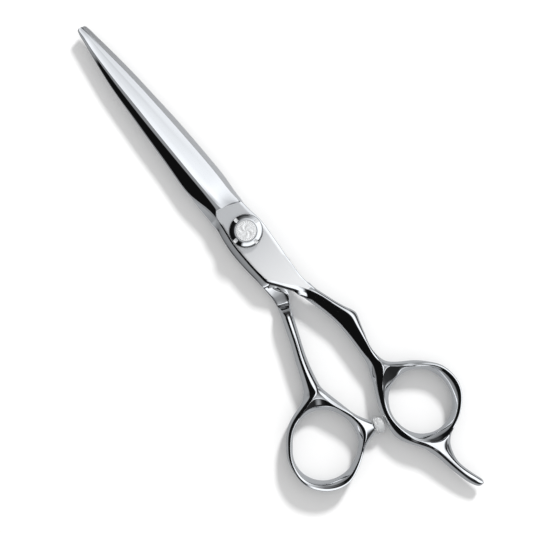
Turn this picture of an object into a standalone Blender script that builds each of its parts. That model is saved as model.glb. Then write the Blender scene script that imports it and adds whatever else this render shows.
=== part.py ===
"""Hair cutting shears, 6.5 inch: two forged halves, a click tension pivot and a clear ring bumper.

Millimetres below, metres in Blender. The pivot axis is Z through the origin, the blade tips
point along +Y, the thumb half lies underneath and the dial is on top. The shears are closed.
"""

import math

import bmesh
import bpy
from mathutils import Matrix, Vector

MM = 0.001

# Heights of the two layers at the pivot.
THUMB_LOW = 0.5
THUMB_INNER = 3.2
FINGER_INNER = 3.5
FINGER_TOP = 6.2
MIRROR_Z = THUMB_INNER + FINGER_INNER  # a thumb height is this less the finger height
CLEARANCE = 0.3  # between pieces that touch on the real shears

# Bows and shanks are thicker than one layer and centred on this height.
BOW_MIDDLE = 3.0
BOW_TOP = 6.0
BOW_LOW = 0.0

CUTTING_LAND = 0.22  # height of the blunt strip at the cutting edge
RIDE_HOLLOW = 0.12  # how far the inner face of a blade is ground hollow
PLATE_BEVEL = 0.55
THUMB_SHOULDER = 0.55  # how far the thumb plate's outer edge lies below its inner face
SUBDIVISIONS = 1
FIT_ROUNDS = 8

# Finger blade stations: y, spine x, facet border x, ridge x, edge x, side height, ridge height.
FINGER_BLADE = [
    (79.4, -1.35, -1.15, -1.0, -0.55, 3.8, 4.0),
    (78.8, -1.8, -1.35, -1.05, -0.25, 3.85, 4.15),
    (77.2, -2.4, -1.6, -1.15, -0.05, 3.9, 4.3),
    (75.0, -3.0, -1.95, -1.35, 0.2, 4.0, 4.45),
    (70.0, -3.65, -2.5, -1.7, 0.7, 4.05, 4.65),
    (60.0, -4.65, -3.0, -2.1, 1.75, 4.1, 4.95),
    (50.0, -5.25, -3.35, -2.4, 2.5, 4.2, 5.25),
    (40.0, -5.8, -3.35, -2.4, 3.05, 4.3, 5.5),
    (30.0, -6.3, -3.2, -2.3, 3.5, 4.4, 5.8),
    (22.0, -6.8, -3.05, -2.2, 3.75, 4.5, 6.0),
    (17.0, -6.3, -2.95, -2.0, 3.75, 4.6, 6.15),
    (12.5, -5.25, -3.0, -1.85, 3.7, 4.7, 6.2),
]

# Thumb blade, seen from above: the spine is on the right and the edge on the left.
THUMB_BLADE = [
    (79.2, -0.2, -0.4, -0.55, -1.0, 3.8, 4.0),
    (78.6, 0.35, -0.1, -0.4, -1.3, 3.85, 4.15),
    (77.0, 0.95, 0.15, -0.3, -1.6, 3.9, 4.3),
    (75.0, 1.3, 0.3, -0.2, -1.9, 4.0, 4.45),
    (70.0, 1.95, 0.8, 0.1, -2.4, 4.05, 4.65),
    (60.0, 3.05, 1.4, 0.6, -3.4, 4.1, 4.95),
    (50.0, 3.9, 2.0, 1.1, -3.9, 4.2, 5.25),
    (40.0, 4.6, 2.15, 1.2, -4.4, 4.3, 5.5),
    (30.0, 5.0, 2.0, 1.1, -4.75, 4.4, 5.8),
    (22.0, 5.2, 1.6, 0.7, -5.4, 4.5, 6.0),
    (17.0, 5.2, 1.8, 0.9, -5.9, 4.6, 6.15),
    (12.5, 4.9, 2.6, 1.3, -6.0, 4.7, 6.2),
]

# Where the hollow ends at the plate: spine, facet border, ridge, middle of the hollow, edge.
FINGER_HOLLOW_END = [(-4.95, 9.6), (-3.75, 10.2), (-1.55, 9.9), (1.4, 9.3), (4.4, 7.8)]
THUMB_HOLLOW_END = [(4.75, 9.6), (3.6, 10.2), (1.4, 9.9), (-2.2, 9.6), (-6.3, 9.0)]

# Plate stations, each as (x, y) pairs: left wall, left edge of the flat, right edge, right wall.
FINGER_PLATE = [
    ((-5.0, 5.0), (-4.72, 5.0), (4.35, 4.2), (4.95, 4.2)),
    ((-5.75, 0.0), (-5.28, 0.0), (5.0, 0.0), (5.55, 0.0)),
    ((-5.75, -5.0), (-5.28, -5.0), (4.9, -5.0), (5.4, -5.0)),
    ((-5.45, -10.5), (-5.08, -10.5), (4.6, -10.5), (5.05, -10.5)),
    ((-4.85, -15.4), (-4.5, -15.2), (4.3, -15.6), (4.7, -15.6)),
    ((-2.95, -18.3), (-2.5, -17.9), (4.05, -18.8), (4.45, -18.8)),
    ((-1.1, -20.9), (-0.4, -20.3), (4.1, -21.2), (4.5, -21.2)),
    ((0.0, -23.5), (1.45, -22.45), (4.35, -23.4), (4.85, -23.4)),
    ((0.75, -25.8), (3.0, -24.3), (4.75, -25.3), (5.3, -25.3)),
]

# Plate of the thumb half, seen from above.
THUMB_PLATE = [
    ((-6.75, 5.0), (-6.1, 5.0), (4.2, 5.0), (4.7, 5.0)),
    ((-7.5, 0.0), (-6.9, 0.0), (4.8, 0.0), (5.3, 0.0)),
    ((-7.65, -5.0), (-7.0, -5.0), (4.7, -5.0), (5.15, -5.0)),
    ((-7.35, -10.0), (-6.7, -10.0), (4.4, -10.0), (4.85, -10.0)),
    ((-6.85, -15.0), (-6.2, -15.0), (3.6, -14.2), (4.1, -14.2)),
    ((-6.6, -19.0), (-6.0, -19.0), (1.0, -17.6), (1.5, -17.8)),
]

# Shank stations: left and right outline, shares of the width at the facet border and the crest,
# and the top and low heights.
FINGER_SHANK = [
    ((1.75, -29.0), (6.45, -29.3), 0.26, 0.7, 6.2, 1.6),
    ((2.95, -33.4), (7.8, -33.3), 0.2, 0.72, 6.2, 0.7),
    ((3.7, -37.0), (9.35, -37.0), 0.16, 0.72, 6.2, 0.35),
    ((4.1, -40.0), (10.5, -39.8), 0.12, 0.7, 6.2, 0.2),
    ((4.15, -43.0), (9.75, -42.8), 0.12, 0.72, 6.15, 0.15),
    ((4.1, -47.0), (8.55, -46.9), 0.16, 0.76, 6.1, 0.1),
    ((3.9, -51.0), (7.5, -51.0), 0.24, 0.8, 6.05, 0.05),
    ((3.4, -54.6), (7.6, -54.6), 0.3, 0.78, 6.0, 0.0),
]

THUMB_SHANK = [
    ((-6.65, -21.8), (-1.2, -22.4), 0.25, 0.5, 3.4, 0.5),
    ((-6.95, -23.6), (-2.2, -24.6), 0.25, 0.5, 3.9, 0.5),
    ((-7.7, -26.0), (-3.6, -26.9), 0.25, 0.5, 5.5, 0.45),
    ((-8.9, -29.6), (-5.3, -30.0), 0.3, 0.52, 6.0, 0.3),
    ((-10.8, -35.0), (-7.4, -35.3), 0.3, 0.52, 6.1, 0.2),
    ((-12.9, -40.0), (-9.4, -40.5), 0.32, 0.56, 6.1, 0.1),
    ((-14.9, -45.0), (-10.9, -45.8), 0.34, 0.6, 6.05, 0.05),
    ((-16.7, -48.8), (-11.75, -50.0), 0.4, 0.66, 6.0, 0.0),
]

# Bow stations counter-clockwise: angle, then radii of the hole, the crest and the outside.
FINGER_BOW_CENTRE = (9.0, -73.2)
FINGER_BOW = [
    (0, 9.4, 12.3, 12.9),
    (20, 9.5, 12.1, 12.75),
    (38, 9.65, 11.6, 12.3),
    (58, 9.85, 11.3, 12.5),
    (77, 10.0, 12.0, 13.4),
    (97, 10.0, 14.6, 16.0),
    (120, 9.9, 12.5, 15.0),
    (145, 9.6, 11.0, 12.9),
    (170, 9.42, 10.4, 12.3),
    (196, 9.45, 10.4, 13.1),
    (218, 9.65, 11.2, 13.3),
    (236, 9.83, 12.2, 14.4),
    (257, 10.0, 13.9, 15.5),
    (279, 10.0, 12.5, 13.1),
    (300, 9.87, 12.0, 12.5),
    (320, 9.65, 12.0, 12.6),
    (340, 9.48, 12.35, 12.95),
]
FINGER_SHANK_AT = 5
TANG_AT = 12

THUMB_BOW_CENTRE = (-22.15, -65.2)
THUMB_BOW = [
    (2, 10.5, 12.7, 13.6),
    (18, 10.45, 12.2, 13.1),
    (38, 10.5, 12.6, 14.4),
    (60, 10.6, 14.5, 16.0),
    (80, 10.5, 12.1, 14.1),
    (101, 10.2, 11.0, 12.6),
    (122, 9.7, 10.4, 11.85),
    (143, 9.4, 10.15, 11.35),
    (164, 9.95, 10.7, 11.8),
    (185, 10.5, 11.6, 12.4),
    (205, 10.75, 12.7, 13.4),
    (225, 10.8, 13.3, 14.0),
    (245, 10.7, 13.6, 14.2),
    (265, 10.55, 13.2, 13.8),
    (283, 10.45, 12.2, 12.85),
    (301, 10.4, 11.7, 12.35),
    (321, 10.5, 12.2, 13.0),
    (341, 10.55, 13.4, 14.5),
]
THUMB_SHANK_AT = 3
BOSS_AT = 17

# Tang (finger rest) stations, from the bow outwards, in the form of the shank stations.
TANG = [
    ((2.6, -89.5), (8.0, -89.0), 0.3, 0.5, 5.6, 0.6),
    ((3.1, -93.0), (6.65, -93.4), 0.35, 0.6, 5.3, 1.0),
    ((3.8, -96.6), (6.95, -97.0), 0.38, 0.64, 5.0, 1.3),
    ((4.7, -100.2), (7.8, -100.0), 0.4, 0.68, 4.7, 1.6),
    ((5.7, -102.7), (8.6, -102.4), 0.42, 0.7, 4.4, 1.9),
    ((7.2, -104.5), (8.75, -104.0), 0.4, 0.65, 3.9, 2.4),
]

# Bumper on the side of the thumb bow.
BUMPER_AXIS = Vector((0.94, -0.34, 0.0)).normalized()
BOSS_END = Vector((-6.9, -70.4, BOW_MIDDLE))
BOSS_END_HALF_WIDTH = 1.8
BOSS_END_HALF_HEIGHT = 1.8
BUMPER_STUD_RADIUS = 0.9
BUMPER_STUD_REACH = 2.2  # beyond the boss
BUMPER_STUD_DEPTH = 2.0  # inside the boss
BUMPER_CAP_RADIUS = 2.45
BUMPER_CAP_LENGTH = 3.2

# Pivot stack, from the floor up.
BOLT_HEAD_RADIUS = 4.4
BOLT_HEAD_TOP = 1.2
BOLT_HEAD_CHAMFER = 0.25
BOLT_NECK_RADIUS = 2.7
BOLT_NECK_TOP = 3.6
BOLT_STUD_RADIUS = 1.8
BOLT_STUD_TOP = 7.6
PTFE_RADIUS = 4.1
PTFE_LOW = 2.8
PTFE_TOP = 3.2
BUSH_RADIUS = 3.3
BUSH_LOW = 3.9
BUSH_FLANGE_LOW = 5.5
BUSH_FLANGE_TOP = 5.8
SPRING_RADIUS = 4.0
SPRING_LOW = 6.1
SPRING_TOP = 6.4
CLICK_PLATE_LOW = 6.7
CLICK_PLATE_TOP = 6.95
DIAL_RADIUS = 5.0
DIAL_LOW = 6.5
DIAL_TOP = 8.2
DIAL_WEB_LOW = 7.25
DIAL_WEB_TOP = 7.7
DIAL_SLOTS = 4
DIAL_SLOT_WIDTH = 1.1
DIAL_SLOT_LOW = 7.3
DIAL_TURN = math.radians(5)
MEDALLION_RADIUS = 3.1
MEDALLION_LOW = 8.0
MEDALLION_TOP = 8.25
TURNED_STEPS = 48


def clear_scene():
    for obj in list(bpy.data.objects):
        bpy.data.objects.remove(obj, do_unlink=True)


def new_collection(name, hidden):
    collection = bpy.data.collections.new(name)
    bpy.context.scene.collection.children.link(collection)
    collection.hide_render = hidden
    return collection


def material(name, colour, roughness, metallic):
    made = bpy.data.materials.new(name)
    made.use_nodes = True
    shader = made.node_tree.nodes["Principled BSDF"]
    shader.inputs["Base Color"].default_value = (*colour, 1.0)
    shader.inputs["Roughness"].default_value = roughness
    shader.inputs["Metallic"].default_value = metallic
    return made


def add_object(name, mesh, collection, surface=None):
    obj = bpy.data.objects.new(name, mesh)
    collection.objects.link(obj)
    if surface:
        mesh.materials.append(surface)
    return obj


# ---- cages ---------------------------------------------------------------------------------

# A section runs left-low, left-side, left-top, crest, right-top, right-side, right-low, low-middle.
LEFT_LOW, LEFT_SIDE, LEFT_TOP, CREST, RIGHT_TOP, RIGHT_SIDE, RIGHT_LOW, LOW_MIDDLE = range(8)
TURNED_OVER = (RIGHT_TOP, RIGHT_SIDE, RIGHT_LOW, LOW_MIDDLE, LEFT_LOW, LEFT_SIDE, LEFT_TOP, CREST)
# A bow section runs hole-middle, hole-top, crest, outside, low crest, hole-low.
HOLE_MIDDLE, HOLE_TOP, BOW_CREST, BOW_OUTSIDE, BOW_LOW_CREST, HOLE_LOW = range(6)


def between(a, b, share):
    return tuple(p + (q - p) * share for p, q in zip(a, b))


def blade_section(y, spine, border, ridge, edge, side_z, ridge_z):
    """Spine wall, black facet, flat strip, hollow, cutting land and the ground inner face."""
    hollow_z = FINGER_INNER + 0.34 * (ridge_z - FINGER_INNER)
    return [
        (spine, y, FINGER_INNER),
        (spine, y, side_z),
        (border, y, ridge_z),
        (ridge, y, ridge_z),
        (ridge + 0.45 * (edge - ridge), y, hollow_z),
        (edge, y, FINGER_INNER + CUTTING_LAND),
        (edge, y, FINGER_INNER),
        ((spine + edge) / 2, y, FINGER_INNER + RIDE_HOLLOW),
    ]


def plate_section(left, left_flat, right_flat, right):
    """Flat top between two bevels, with the flat inner face below."""
    middle = between(left_flat, right_flat, 0.5)
    low = between(left, right, 0.5)
    return [
        (*left, FINGER_INNER),
        (*left, FINGER_TOP - 2 * PLATE_BEVEL),
        (*left_flat, FINGER_TOP),
        (*middle, FINGER_TOP),
        (*right_flat, FINGER_TOP),
        (*right, FINGER_TOP - PLATE_BEVEL),
        (*right, FINGER_INNER),
        (*low, FINGER_INNER),
    ]


def shank_section(left, right, facet, crest, top, low):
    middle = (top + low) / 2
    half = (top - low) / 2
    return [
        (*between(left, right, 0.14), low + 0.4 * half),
        (*left, middle),
        (*between(left, right, facet), top - 0.34 * half),
        (*between(left, right, crest), top),
        (*between(left, right, (1 + crest) / 2), top - 0.2 * half),
        (*right, middle),
        (*between(left, right, 0.86), low + 0.4 * half),
        (*between(left, right, 0.5), low),
    ]


def bow_section(centre, station):
    angle, hole, crest, outside = station
    across = Vector((math.cos(math.radians(angle)), math.sin(math.radians(angle)), 0))
    wall = hole + 0.5 * (crest - hole)
    half = (BOW_TOP - BOW_LOW) / 2
    profile = [
        (hole, BOW_MIDDLE),
        (wall, BOW_TOP - 0.3 * half),
        (crest, BOW_TOP),
        (outside, BOW_MIDDLE),
        (crest, BOW_LOW),
        (wall, BOW_LOW + 0.3 * half),
    ]
    return [Vector((*centre, z)) + across * radius for radius, z in profile]


def upside_down(section):
    """The same section for the thumb half, mirrored in height about the gap between the halves."""
    return [(x, y, MIRROR_Z - z) for x, y, z in section]


class Cage:
    """A coarse quad cage whose points lie on the finished surface."""

    def __init__(self):
        self.bm = bmesh.new()
        self.crease = self.bm.edges.layers.float.new("crease_edge")

    def row(self, section):
        return [self.bm.verts.new(Vector(point) * MM) for point in section]

    def bridge(self, first, second):
        count = len(first)
        for i in range(count):
            j = (i + 1) % count
            self.bm.faces.new((first[i], first[j], second[j], second[i]))

    def cap(self, row):
        for corners in ((0, 1, 2, 3), (0, 3, 4, 7), (7, 4, 5, 6)):
            self.bm.faces.new([row[i] for i in corners])

    def sharpen(self, a, b, amount):
        edge = self.bm.edges.get((a, b))
        if edge:
            edge[self.crease] = amount

    def sharpen_lines(self, rows, lines, amount):
        for first, second in zip(rows, rows[1:]):
            for line in lines:
                self.sharpen(first[line], second[line], amount)

    def sharpen_across(self, row, lines, amount):
        for first, second in zip(lines, lines[1:]):
            self.sharpen(row[first], row[second], amount)

    def bow(self, centre, stations, doors):
        """A closed loop of sections, open where a shank, tang or boss joins it."""
        rows = [self.row(bow_section(centre, station)) for station in stations]
        count = len(rows)
        open_outside = {(door - 1) % count for door in doors} | set(doors)
        for i, first in enumerate(rows):
            second = rows[(i + 1) % count]
            for a in range(6):
                b = (a + 1) % 6
                if a in (BOW_CREST, BOW_OUTSIDE) and i in open_outside:
                    continue
                self.bm.faces.new((first[a], first[b], second[b], second[a]))
            self.sharpen(first[BOW_CREST], second[BOW_CREST], 0.75)
            self.sharpen(first[BOW_LOW_CREST], second[BOW_LOW_CREST], 0.75)
        for door in doors:
            self.bm.verts.remove(rows[door][BOW_OUTSIDE])
        return rows

    def doorway(self, rows, door):
        """The eight points around an opening in the bow, in the order of a section."""
        count = len(rows)
        right, middle, left = rows[(door - 1) % count], rows[door], rows[(door + 1) % count]
        return [
            left[BOW_LOW_CREST],
            left[BOW_OUTSIDE],
            left[BOW_CREST],
            middle[BOW_CREST],
            right[BOW_CREST],
            right[BOW_OUTSIDE],
            right[BOW_LOW_CREST],
            middle[BOW_LOW_CREST],
        ]

    def finish(self, name, collection, surface):
        bmesh.ops.recalc_face_normals(self.bm, faces=self.bm.faces)
        mesh = bpy.data.meshes.new(name)
        self.bm.to_mesh(mesh)
        self.bm.free()
        obj = add_object(name, mesh, collection, surface)
        smooth = obj.modifiers.new("smooth", "SUBSURF")
        smooth.levels = SUBDIVISIONS
        smooth.render_levels = SUBDIVISIONS
        pull_out(obj)
        return obj


def pull_out(obj):
    """Move the cage until the smoothed surface passes through the points it was given."""
    aims = [vertex.co.copy() for vertex in obj.data.vertices]
    for _ in range(FIT_ROUNDS):
        bpy.context.view_layer.update()
        graph = bpy.context.evaluated_depsgraph_get()
        shown = obj.evaluated_get(graph)
        smooth = shown.to_mesh()
        misses = [aim - smooth.vertices[i].co for i, aim in enumerate(aims)]
        shown.to_mesh_clear()
        for vertex, miss in zip(obj.data.vertices, misses):
            vertex.co += miss
        obj.data.update()


def finger_half(collection, surface):
    cage = Cage()
    blade = [cage.row(blade_section(*station)) for station in FINGER_BLADE]
    hollow_end = [cage.row(section) for section in hollow_end_sections(1, FINGER_HOLLOW_END)]
    plate = [cage.row(plate_section(*station)) for station in FINGER_PLATE]
    shank = [cage.row(shank_section(*station)) for station in FINGER_SHANK]
    rows = blade + hollow_end + plate + shank
    cage.cap(rows[0])
    for first, second in zip(rows, rows[1:]):
        cage.bridge(first, second)
    bow = cage.bow(FINGER_BOW_CENTRE, FINGER_BOW, [FINGER_SHANK_AT, TANG_AT])
    cage.bridge(rows[-1], cage.doorway(bow, FINGER_SHANK_AT))
    tang = [cage.row(shank_section(*station)) for station in TANG]
    door = cage.doorway(bow, TANG_AT)
    # Seen from the bow outwards, left and right change places on the tang.
    door = [door[i] for i in (6, 5, 4, 3, 2, 1, 0, 7)]
    cage.bridge(door, tang[0])
    for first, second in zip(tang, tang[1:]):
        cage.bridge(first, second)
    cage.cap(tang[-1])
    steel_lines(cage, blade, hollow_end, plate, shank, cage.doorway(bow, FINGER_SHANK_AT))
    cage.sharpen_lines([door] + tang, (CREST, LOW_MIDDLE), 0.75)
    return cage.finish("finger_half", collection, surface)


def hollow_end_sections(side, points):
    """Foot and top of the wall that ends the hollow; side is 1 where the edge is on the right."""
    spine, border, ridge, middle, edge = points
    low = between(spine, edge, 0.5)
    foot = [
        (*spine, FINGER_INNER),
        (*spine, FINGER_TOP - 2.4 * PLATE_BEVEL),
        (*border, FINGER_TOP),
        (*ridge, FINGER_TOP),
        (*middle, FINGER_INNER + 1.1),
        (*edge, FINGER_INNER + CUTTING_LAND),
        (*edge, FINGER_INNER),
        (*low, FINGER_INNER),
    ]
    top = [
        (spine[0], spine[1] - 1.0, FINGER_INNER),
        (spine[0], spine[1] - 1.0, FINGER_TOP - 2 * PLATE_BEVEL),
        (border[0] - 0.75 * side, border[1] - 1.3, FINGER_TOP),
        (ridge[0] + 0.3 * side, ridge[1] - 0.75, FINGER_TOP),
        (middle[0] + 0.1 * side, middle[1] - 0.6, FINGER_TOP),
        (edge[0] + 0.35 * side, edge[1] - 0.9, FINGER_TOP - PLATE_BEVEL),
        (edge[0] + 0.35 * side, edge[1] - 0.9, FINGER_INNER),
        (low[0], low[1] - 1.0, FINGER_INNER),
    ]
    return foot, top


def steel_lines(cage, blade, hollow_end, plate, shank, door):
    """Crisp lines of a half: blade outline, ridge, hollow end, plate bevels and shank crest."""
    outline = (LEFT_LOW, LEFT_SIDE, LEFT_TOP, RIGHT_SIDE, RIGHT_LOW)
    cage.sharpen_lines(blade + hollow_end, outline, 1.0)
    cage.sharpen_lines(blade + hollow_end[:1], (CREST,), 1.0)
    cage.sharpen_lines(hollow_end[1:] + plate, outline, 1.0)
    cage.sharpen_lines(plate, (RIGHT_TOP,), 1.0)
    for row in hollow_end:
        cage.sharpen_across(row, (CREST, RIGHT_TOP, RIGHT_SIDE), 1.0)
    cage.sharpen_across(blade[0], (LEFT_LOW, LEFT_SIDE, LEFT_TOP, CREST), 0.6)
    cage.sharpen_lines(plate[-1:] + shank[:1], (LEFT_TOP, RIGHT_TOP), 0.6)
    cage.sharpen_lines(plate[-1:] + shank + [door], (CREST,), 0.8)
    cage.sharpen_lines(shank[1:] + [door], (LOW_MIDDLE,), 0.6)


def thumb_half(collection, surface):
    cage = Cage()
    blade = [cage.row(upside_down(blade_section(*station))) for station in THUMB_BLADE]
    ends = hollow_end_sections(-1, THUMB_HOLLOW_END)
    hollow_end = [cage.row(upside_down(section)) for section in ends]
    plate = []
    for left, left_flat, right_flat, right in THUMB_PLATE:
        section = plate_section(right, right_flat, left_flat, left)
        section[RIGHT_LOW] = (*left, FINGER_INNER + THUMB_SHOULDER)
        section[LOW_MIDDLE] = (*between(left, right, 0.32), FINGER_INNER)
        plate.append(cage.row(upside_down(section)))
    shank = [cage.row(shank_section(*station)) for station in THUMB_SHANK]
    rows = blade + hollow_end + plate
    cage.cap(rows[0])
    for first, second in zip(rows, rows[1:]):
        cage.bridge(first, second)
    # The plate is upside down and the shank isn't, so their points meet in another order.
    last = [plate[-1][i] for i in TURNED_OVER]
    cage.bridge(last, shank[0])
    for first, second in zip(shank, shank[1:]):
        cage.bridge(first, second)
    bow = cage.bow(THUMB_BOW_CENTRE, THUMB_BOW, [THUMB_SHANK_AT, BOSS_AT])
    shank_door = cage.doorway(bow, THUMB_SHANK_AT)
    cage.bridge(shank[-1], shank_door)
    boss_door = cage.doorway(bow, BOSS_AT)
    boss_end = cage.row(boss_section())
    cage.bridge(boss_door, boss_end)
    cage.cap(boss_end)
    for i in range(8):
        cage.sharpen(boss_end[i], boss_end[(i + 1) % 8], 1.0)
    steel_lines(cage, blade, hollow_end, plate, shank, shank_door)
    return cage.finish("thumb_half", collection, surface)


def boss_section():
    """The flat round end of the bumper boss, in the order of a section."""
    sideways = Vector((-BUMPER_AXIS.y, BUMPER_AXIS.x, 0))
    points = []
    for turn in (225, 180, 135, 90, 45, 0, -45, -90):
        angle = math.radians(turn)
        out = -sideways * BOSS_END_HALF_WIDTH * math.cos(angle)
        points.append(BOSS_END + out + Vector((0, 0, BOSS_END_HALF_HEIGHT * math.sin(angle))))
    return points


# ---- turned pieces -------------------------------------------------------------------------

def turned(name, collection, profile, surface=None, steps=TURNED_STEPS):
    """A profile of (radius, z), listed from its top down the outer side, spun about Z."""
    mesh = bpy.data.meshes.new(name)
    points = [(radius * MM, 0, z * MM) for radius, z in profile]
    edges = [(i, i + 1) for i in range(len(points) - 1)]
    closed = profile[0][0] > 0
    if closed:
        edges.append((len(points) - 1, 0))
    mesh.from_pydata(points, edges, [])
    obj = add_object(name, mesh, collection, surface)
    spin = obj.modifiers.new("spin", "SCREW")
    spin.steps = steps
    spin.render_steps = steps
    spin.use_merge_vertices = True
    spin.merge_threshold = 0.00001
    return obj


def cut(obj, cutter):
    hole = obj.modifiers.new("cut " + cutter.name, "BOOLEAN")
    hole.operation = "DIFFERENCE"
    hole.solver = "EXACT"
    hole.object = cutter
    cutter.display_type = "WIRE"
    cutter.hide_render = True


def pivot_bolt(collection, surface):
    return turned("pivot_bolt", collection, [
        (0, BOLT_STUD_TOP),
        (BOLT_STUD_RADIUS - 0.3, BOLT_STUD_TOP),
        (BOLT_STUD_RADIUS, BOLT_STUD_TOP - 0.3),
        (BOLT_STUD_RADIUS, BOLT_NECK_TOP),
        (BOLT_NECK_RADIUS, BOLT_NECK_TOP),
        (BOLT_NECK_RADIUS, BOLT_HEAD_TOP),
        (BOLT_HEAD_RADIUS, BOLT_HEAD_TOP),
        (BOLT_HEAD_RADIUS, BOLT_HEAD_CHAMFER),
        (BOLT_HEAD_RADIUS - BOLT_HEAD_CHAMFER, 0),
        (0, 0),
    ], surface)


def washer(name, collection, surface, outer, inner, low, top):
    return turned(name, collection, [(inner, top), (outer, top), (outer, low), (inner, low)], surface)


def pivot_bush(collection, surface):
    bore = BOLT_STUD_RADIUS + CLEARANCE
    return turned("pivot_bush", collection, [
        (bore, BUSH_FLANGE_TOP),
        (SPRING_RADIUS, BUSH_FLANGE_TOP),
        (SPRING_RADIUS, BUSH_FLANGE_LOW),
        (BUSH_RADIUS, BUSH_FLANGE_LOW),
        (BUSH_RADIUS, BUSH_LOW),
        (bore, BUSH_LOW),
    ], surface)


def tension_dial(collection, surface, cutters):
    bore = BOLT_STUD_RADIUS + CLEARANCE
    seat = MEDALLION_RADIUS + CLEARANCE
    dial = turned("tension_dial", collection, [
        (seat, DIAL_TOP),
        (seat + 0.25, DIAL_TOP),
        (DIAL_RADIUS, DIAL_TOP - 1.0),
        (DIAL_RADIUS, DIAL_LOW),
        (SPRING_RADIUS + CLEARANCE, DIAL_LOW),
        (SPRING_RADIUS + CLEARANCE, DIAL_WEB_LOW),
        (bore, DIAL_WEB_LOW),
        (bore, DIAL_WEB_TOP),
        (seat, DIAL_WEB_TOP),
    ], surface)
    for i in range(DIAL_SLOTS):
        angle = DIAL_TURN + i * math.tau / DIAL_SLOTS
        bm = bmesh.new()
        bmesh.ops.create_cube(bm, size=1)
        length = 3.0
        bmesh.ops.scale(bm, vec=Vector((length, DIAL_SLOT_WIDTH, 2.0)) * MM, verts=bm.verts)
        reach = seat + 0.35 + length / 2
        bmesh.ops.translate(bm, vec=Vector((reach, 0, DIAL_SLOT_LOW + 1.0)) * MM, verts=bm.verts)
        mesh = bpy.data.meshes.new(f"dial_slot_{i}")
        bm.to_mesh(mesh)
        bm.free()
        slot = add_object(f"dial_slot_{i}", mesh, cutters)
        slot.rotation_euler = (0, 0, angle)
        cut(dial, slot)
    return dial


def dial_medallion(collection, surface):
    return turned("dial_medallion", collection, [
        (0, MEDALLION_TOP),
        (MEDALLION_RADIUS - 0.6, MEDALLION_TOP),
        (MEDALLION_RADIUS - 0.5, MEDALLION_TOP + 0.08),
        (MEDALLION_RADIUS - 0.15, MEDALLION_TOP + 0.08),
        (MEDALLION_RADIUS, MEDALLION_TOP - 0.07),
        (MEDALLION_RADIUS, MEDALLION_LOW),
        (0, MEDALLION_LOW),
    ], surface)


def place_on_boss(obj):
    """Lay a piece turned about Z along the bumper axis, its z = 0 on the end of the boss."""
    side = Vector((-BUMPER_AXIS.y, BUMPER_AXIS.x, 0))
    up = Vector((0, 0, 1))
    turn = Matrix((side, up, BUMPER_AXIS)).transposed().to_4x4()
    obj.matrix_world = Matrix.Translation(BOSS_END * MM) @ turn


def bumper_stud(collection, surface):
    stud = turned("bumper_stud", collection, [
        (0, BUMPER_STUD_REACH),
        (BUMPER_STUD_RADIUS - 0.2, BUMPER_STUD_REACH),
        (BUMPER_STUD_RADIUS, BUMPER_STUD_REACH - 0.2),
        (BUMPER_STUD_RADIUS, -BUMPER_STUD_DEPTH),
        (0, -BUMPER_STUD_DEPTH),
    ], surface, steps=24)
    place_on_boss(stud)
    return stud


def bumper_cap(collection, surface):
    """A domed clear cap, bored from its foot for the stud."""
    bore = BUMPER_STUD_RADIUS + CLEARANCE
    height = BUMPER_CAP_RADIUS * 0.8
    shoulder = BUMPER_CAP_LENGTH + CLEARANCE - height
    dome = []
    for i in range(6):
        angle = math.radians(90 - i * 18)
        dome.append((BUMPER_CAP_RADIUS * math.cos(angle), shoulder + height * math.sin(angle)))
    cap = turned("bumper_cap", collection, [
        (0, dome[0][1]),
        *dome[1:],
        (BUMPER_CAP_RADIUS, CLEARANCE + 0.3),
        (BUMPER_CAP_RADIUS - 0.3, CLEARANCE),
        (bore, CLEARANCE),
        (bore, BUMPER_STUD_REACH + CLEARANCE),
        (0, BUMPER_STUD_REACH + CLEARANCE),
    ], surface, steps=32)
    place_on_boss(cap)
    return cap


def cut_pivot(finger, thumb, cutters):
    """Bores, counterbores and recesses of the pivot, one stepped cutter for each half."""
    past = 1.0
    thumb_cutter = turned("thumb_bore", cutters, [
        (0, THUMB_INNER + past),
        (PTFE_RADIUS + CLEARANCE, THUMB_INNER + past),
        (PTFE_RADIUS + CLEARANCE, PTFE_LOW - CLEARANCE),
        (BOLT_NECK_RADIUS + CLEARANCE, PTFE_LOW - CLEARANCE),
        (BOLT_NECK_RADIUS + CLEARANCE, BOLT_HEAD_TOP + CLEARANCE),
        (BOLT_HEAD_RADIUS + CLEARANCE, BOLT_HEAD_TOP + CLEARANCE),
        (BOLT_HEAD_RADIUS + CLEARANCE, THUMB_LOW - past),
        (0, THUMB_LOW - past),
    ])
    cut(thumb, thumb_cutter)
    finger_cutter = turned("finger_bore", cutters, [
        (0, FINGER_TOP + past),
        (SPRING_RADIUS + CLEARANCE, FINGER_TOP + past),
        (SPRING_RADIUS + CLEARANCE, BUSH_FLANGE_LOW - CLEARANCE),
        (BUSH_RADIUS + CLEARANCE, BUSH_FLANGE_LOW - CLEARANCE),
        (BUSH_RADIUS + CLEARANCE, FINGER_INNER - past),
        (0, FINGER_INNER - past),
    ])
    cut(finger, finger_cutter)
    boss_cutter = turned("boss_bore", cutters, [
        (0, past),
        (BUMPER_STUD_RADIUS + CLEARANCE, past),
        (BUMPER_STUD_RADIUS + CLEARANCE, -BUMPER_STUD_DEPTH - CLEARANCE),
        (0, -BUMPER_STUD_DEPTH - CLEARANCE),
    ], steps=24)
    place_on_boss(boss_cutter)
    cut(thumb, boss_cutter)


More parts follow.
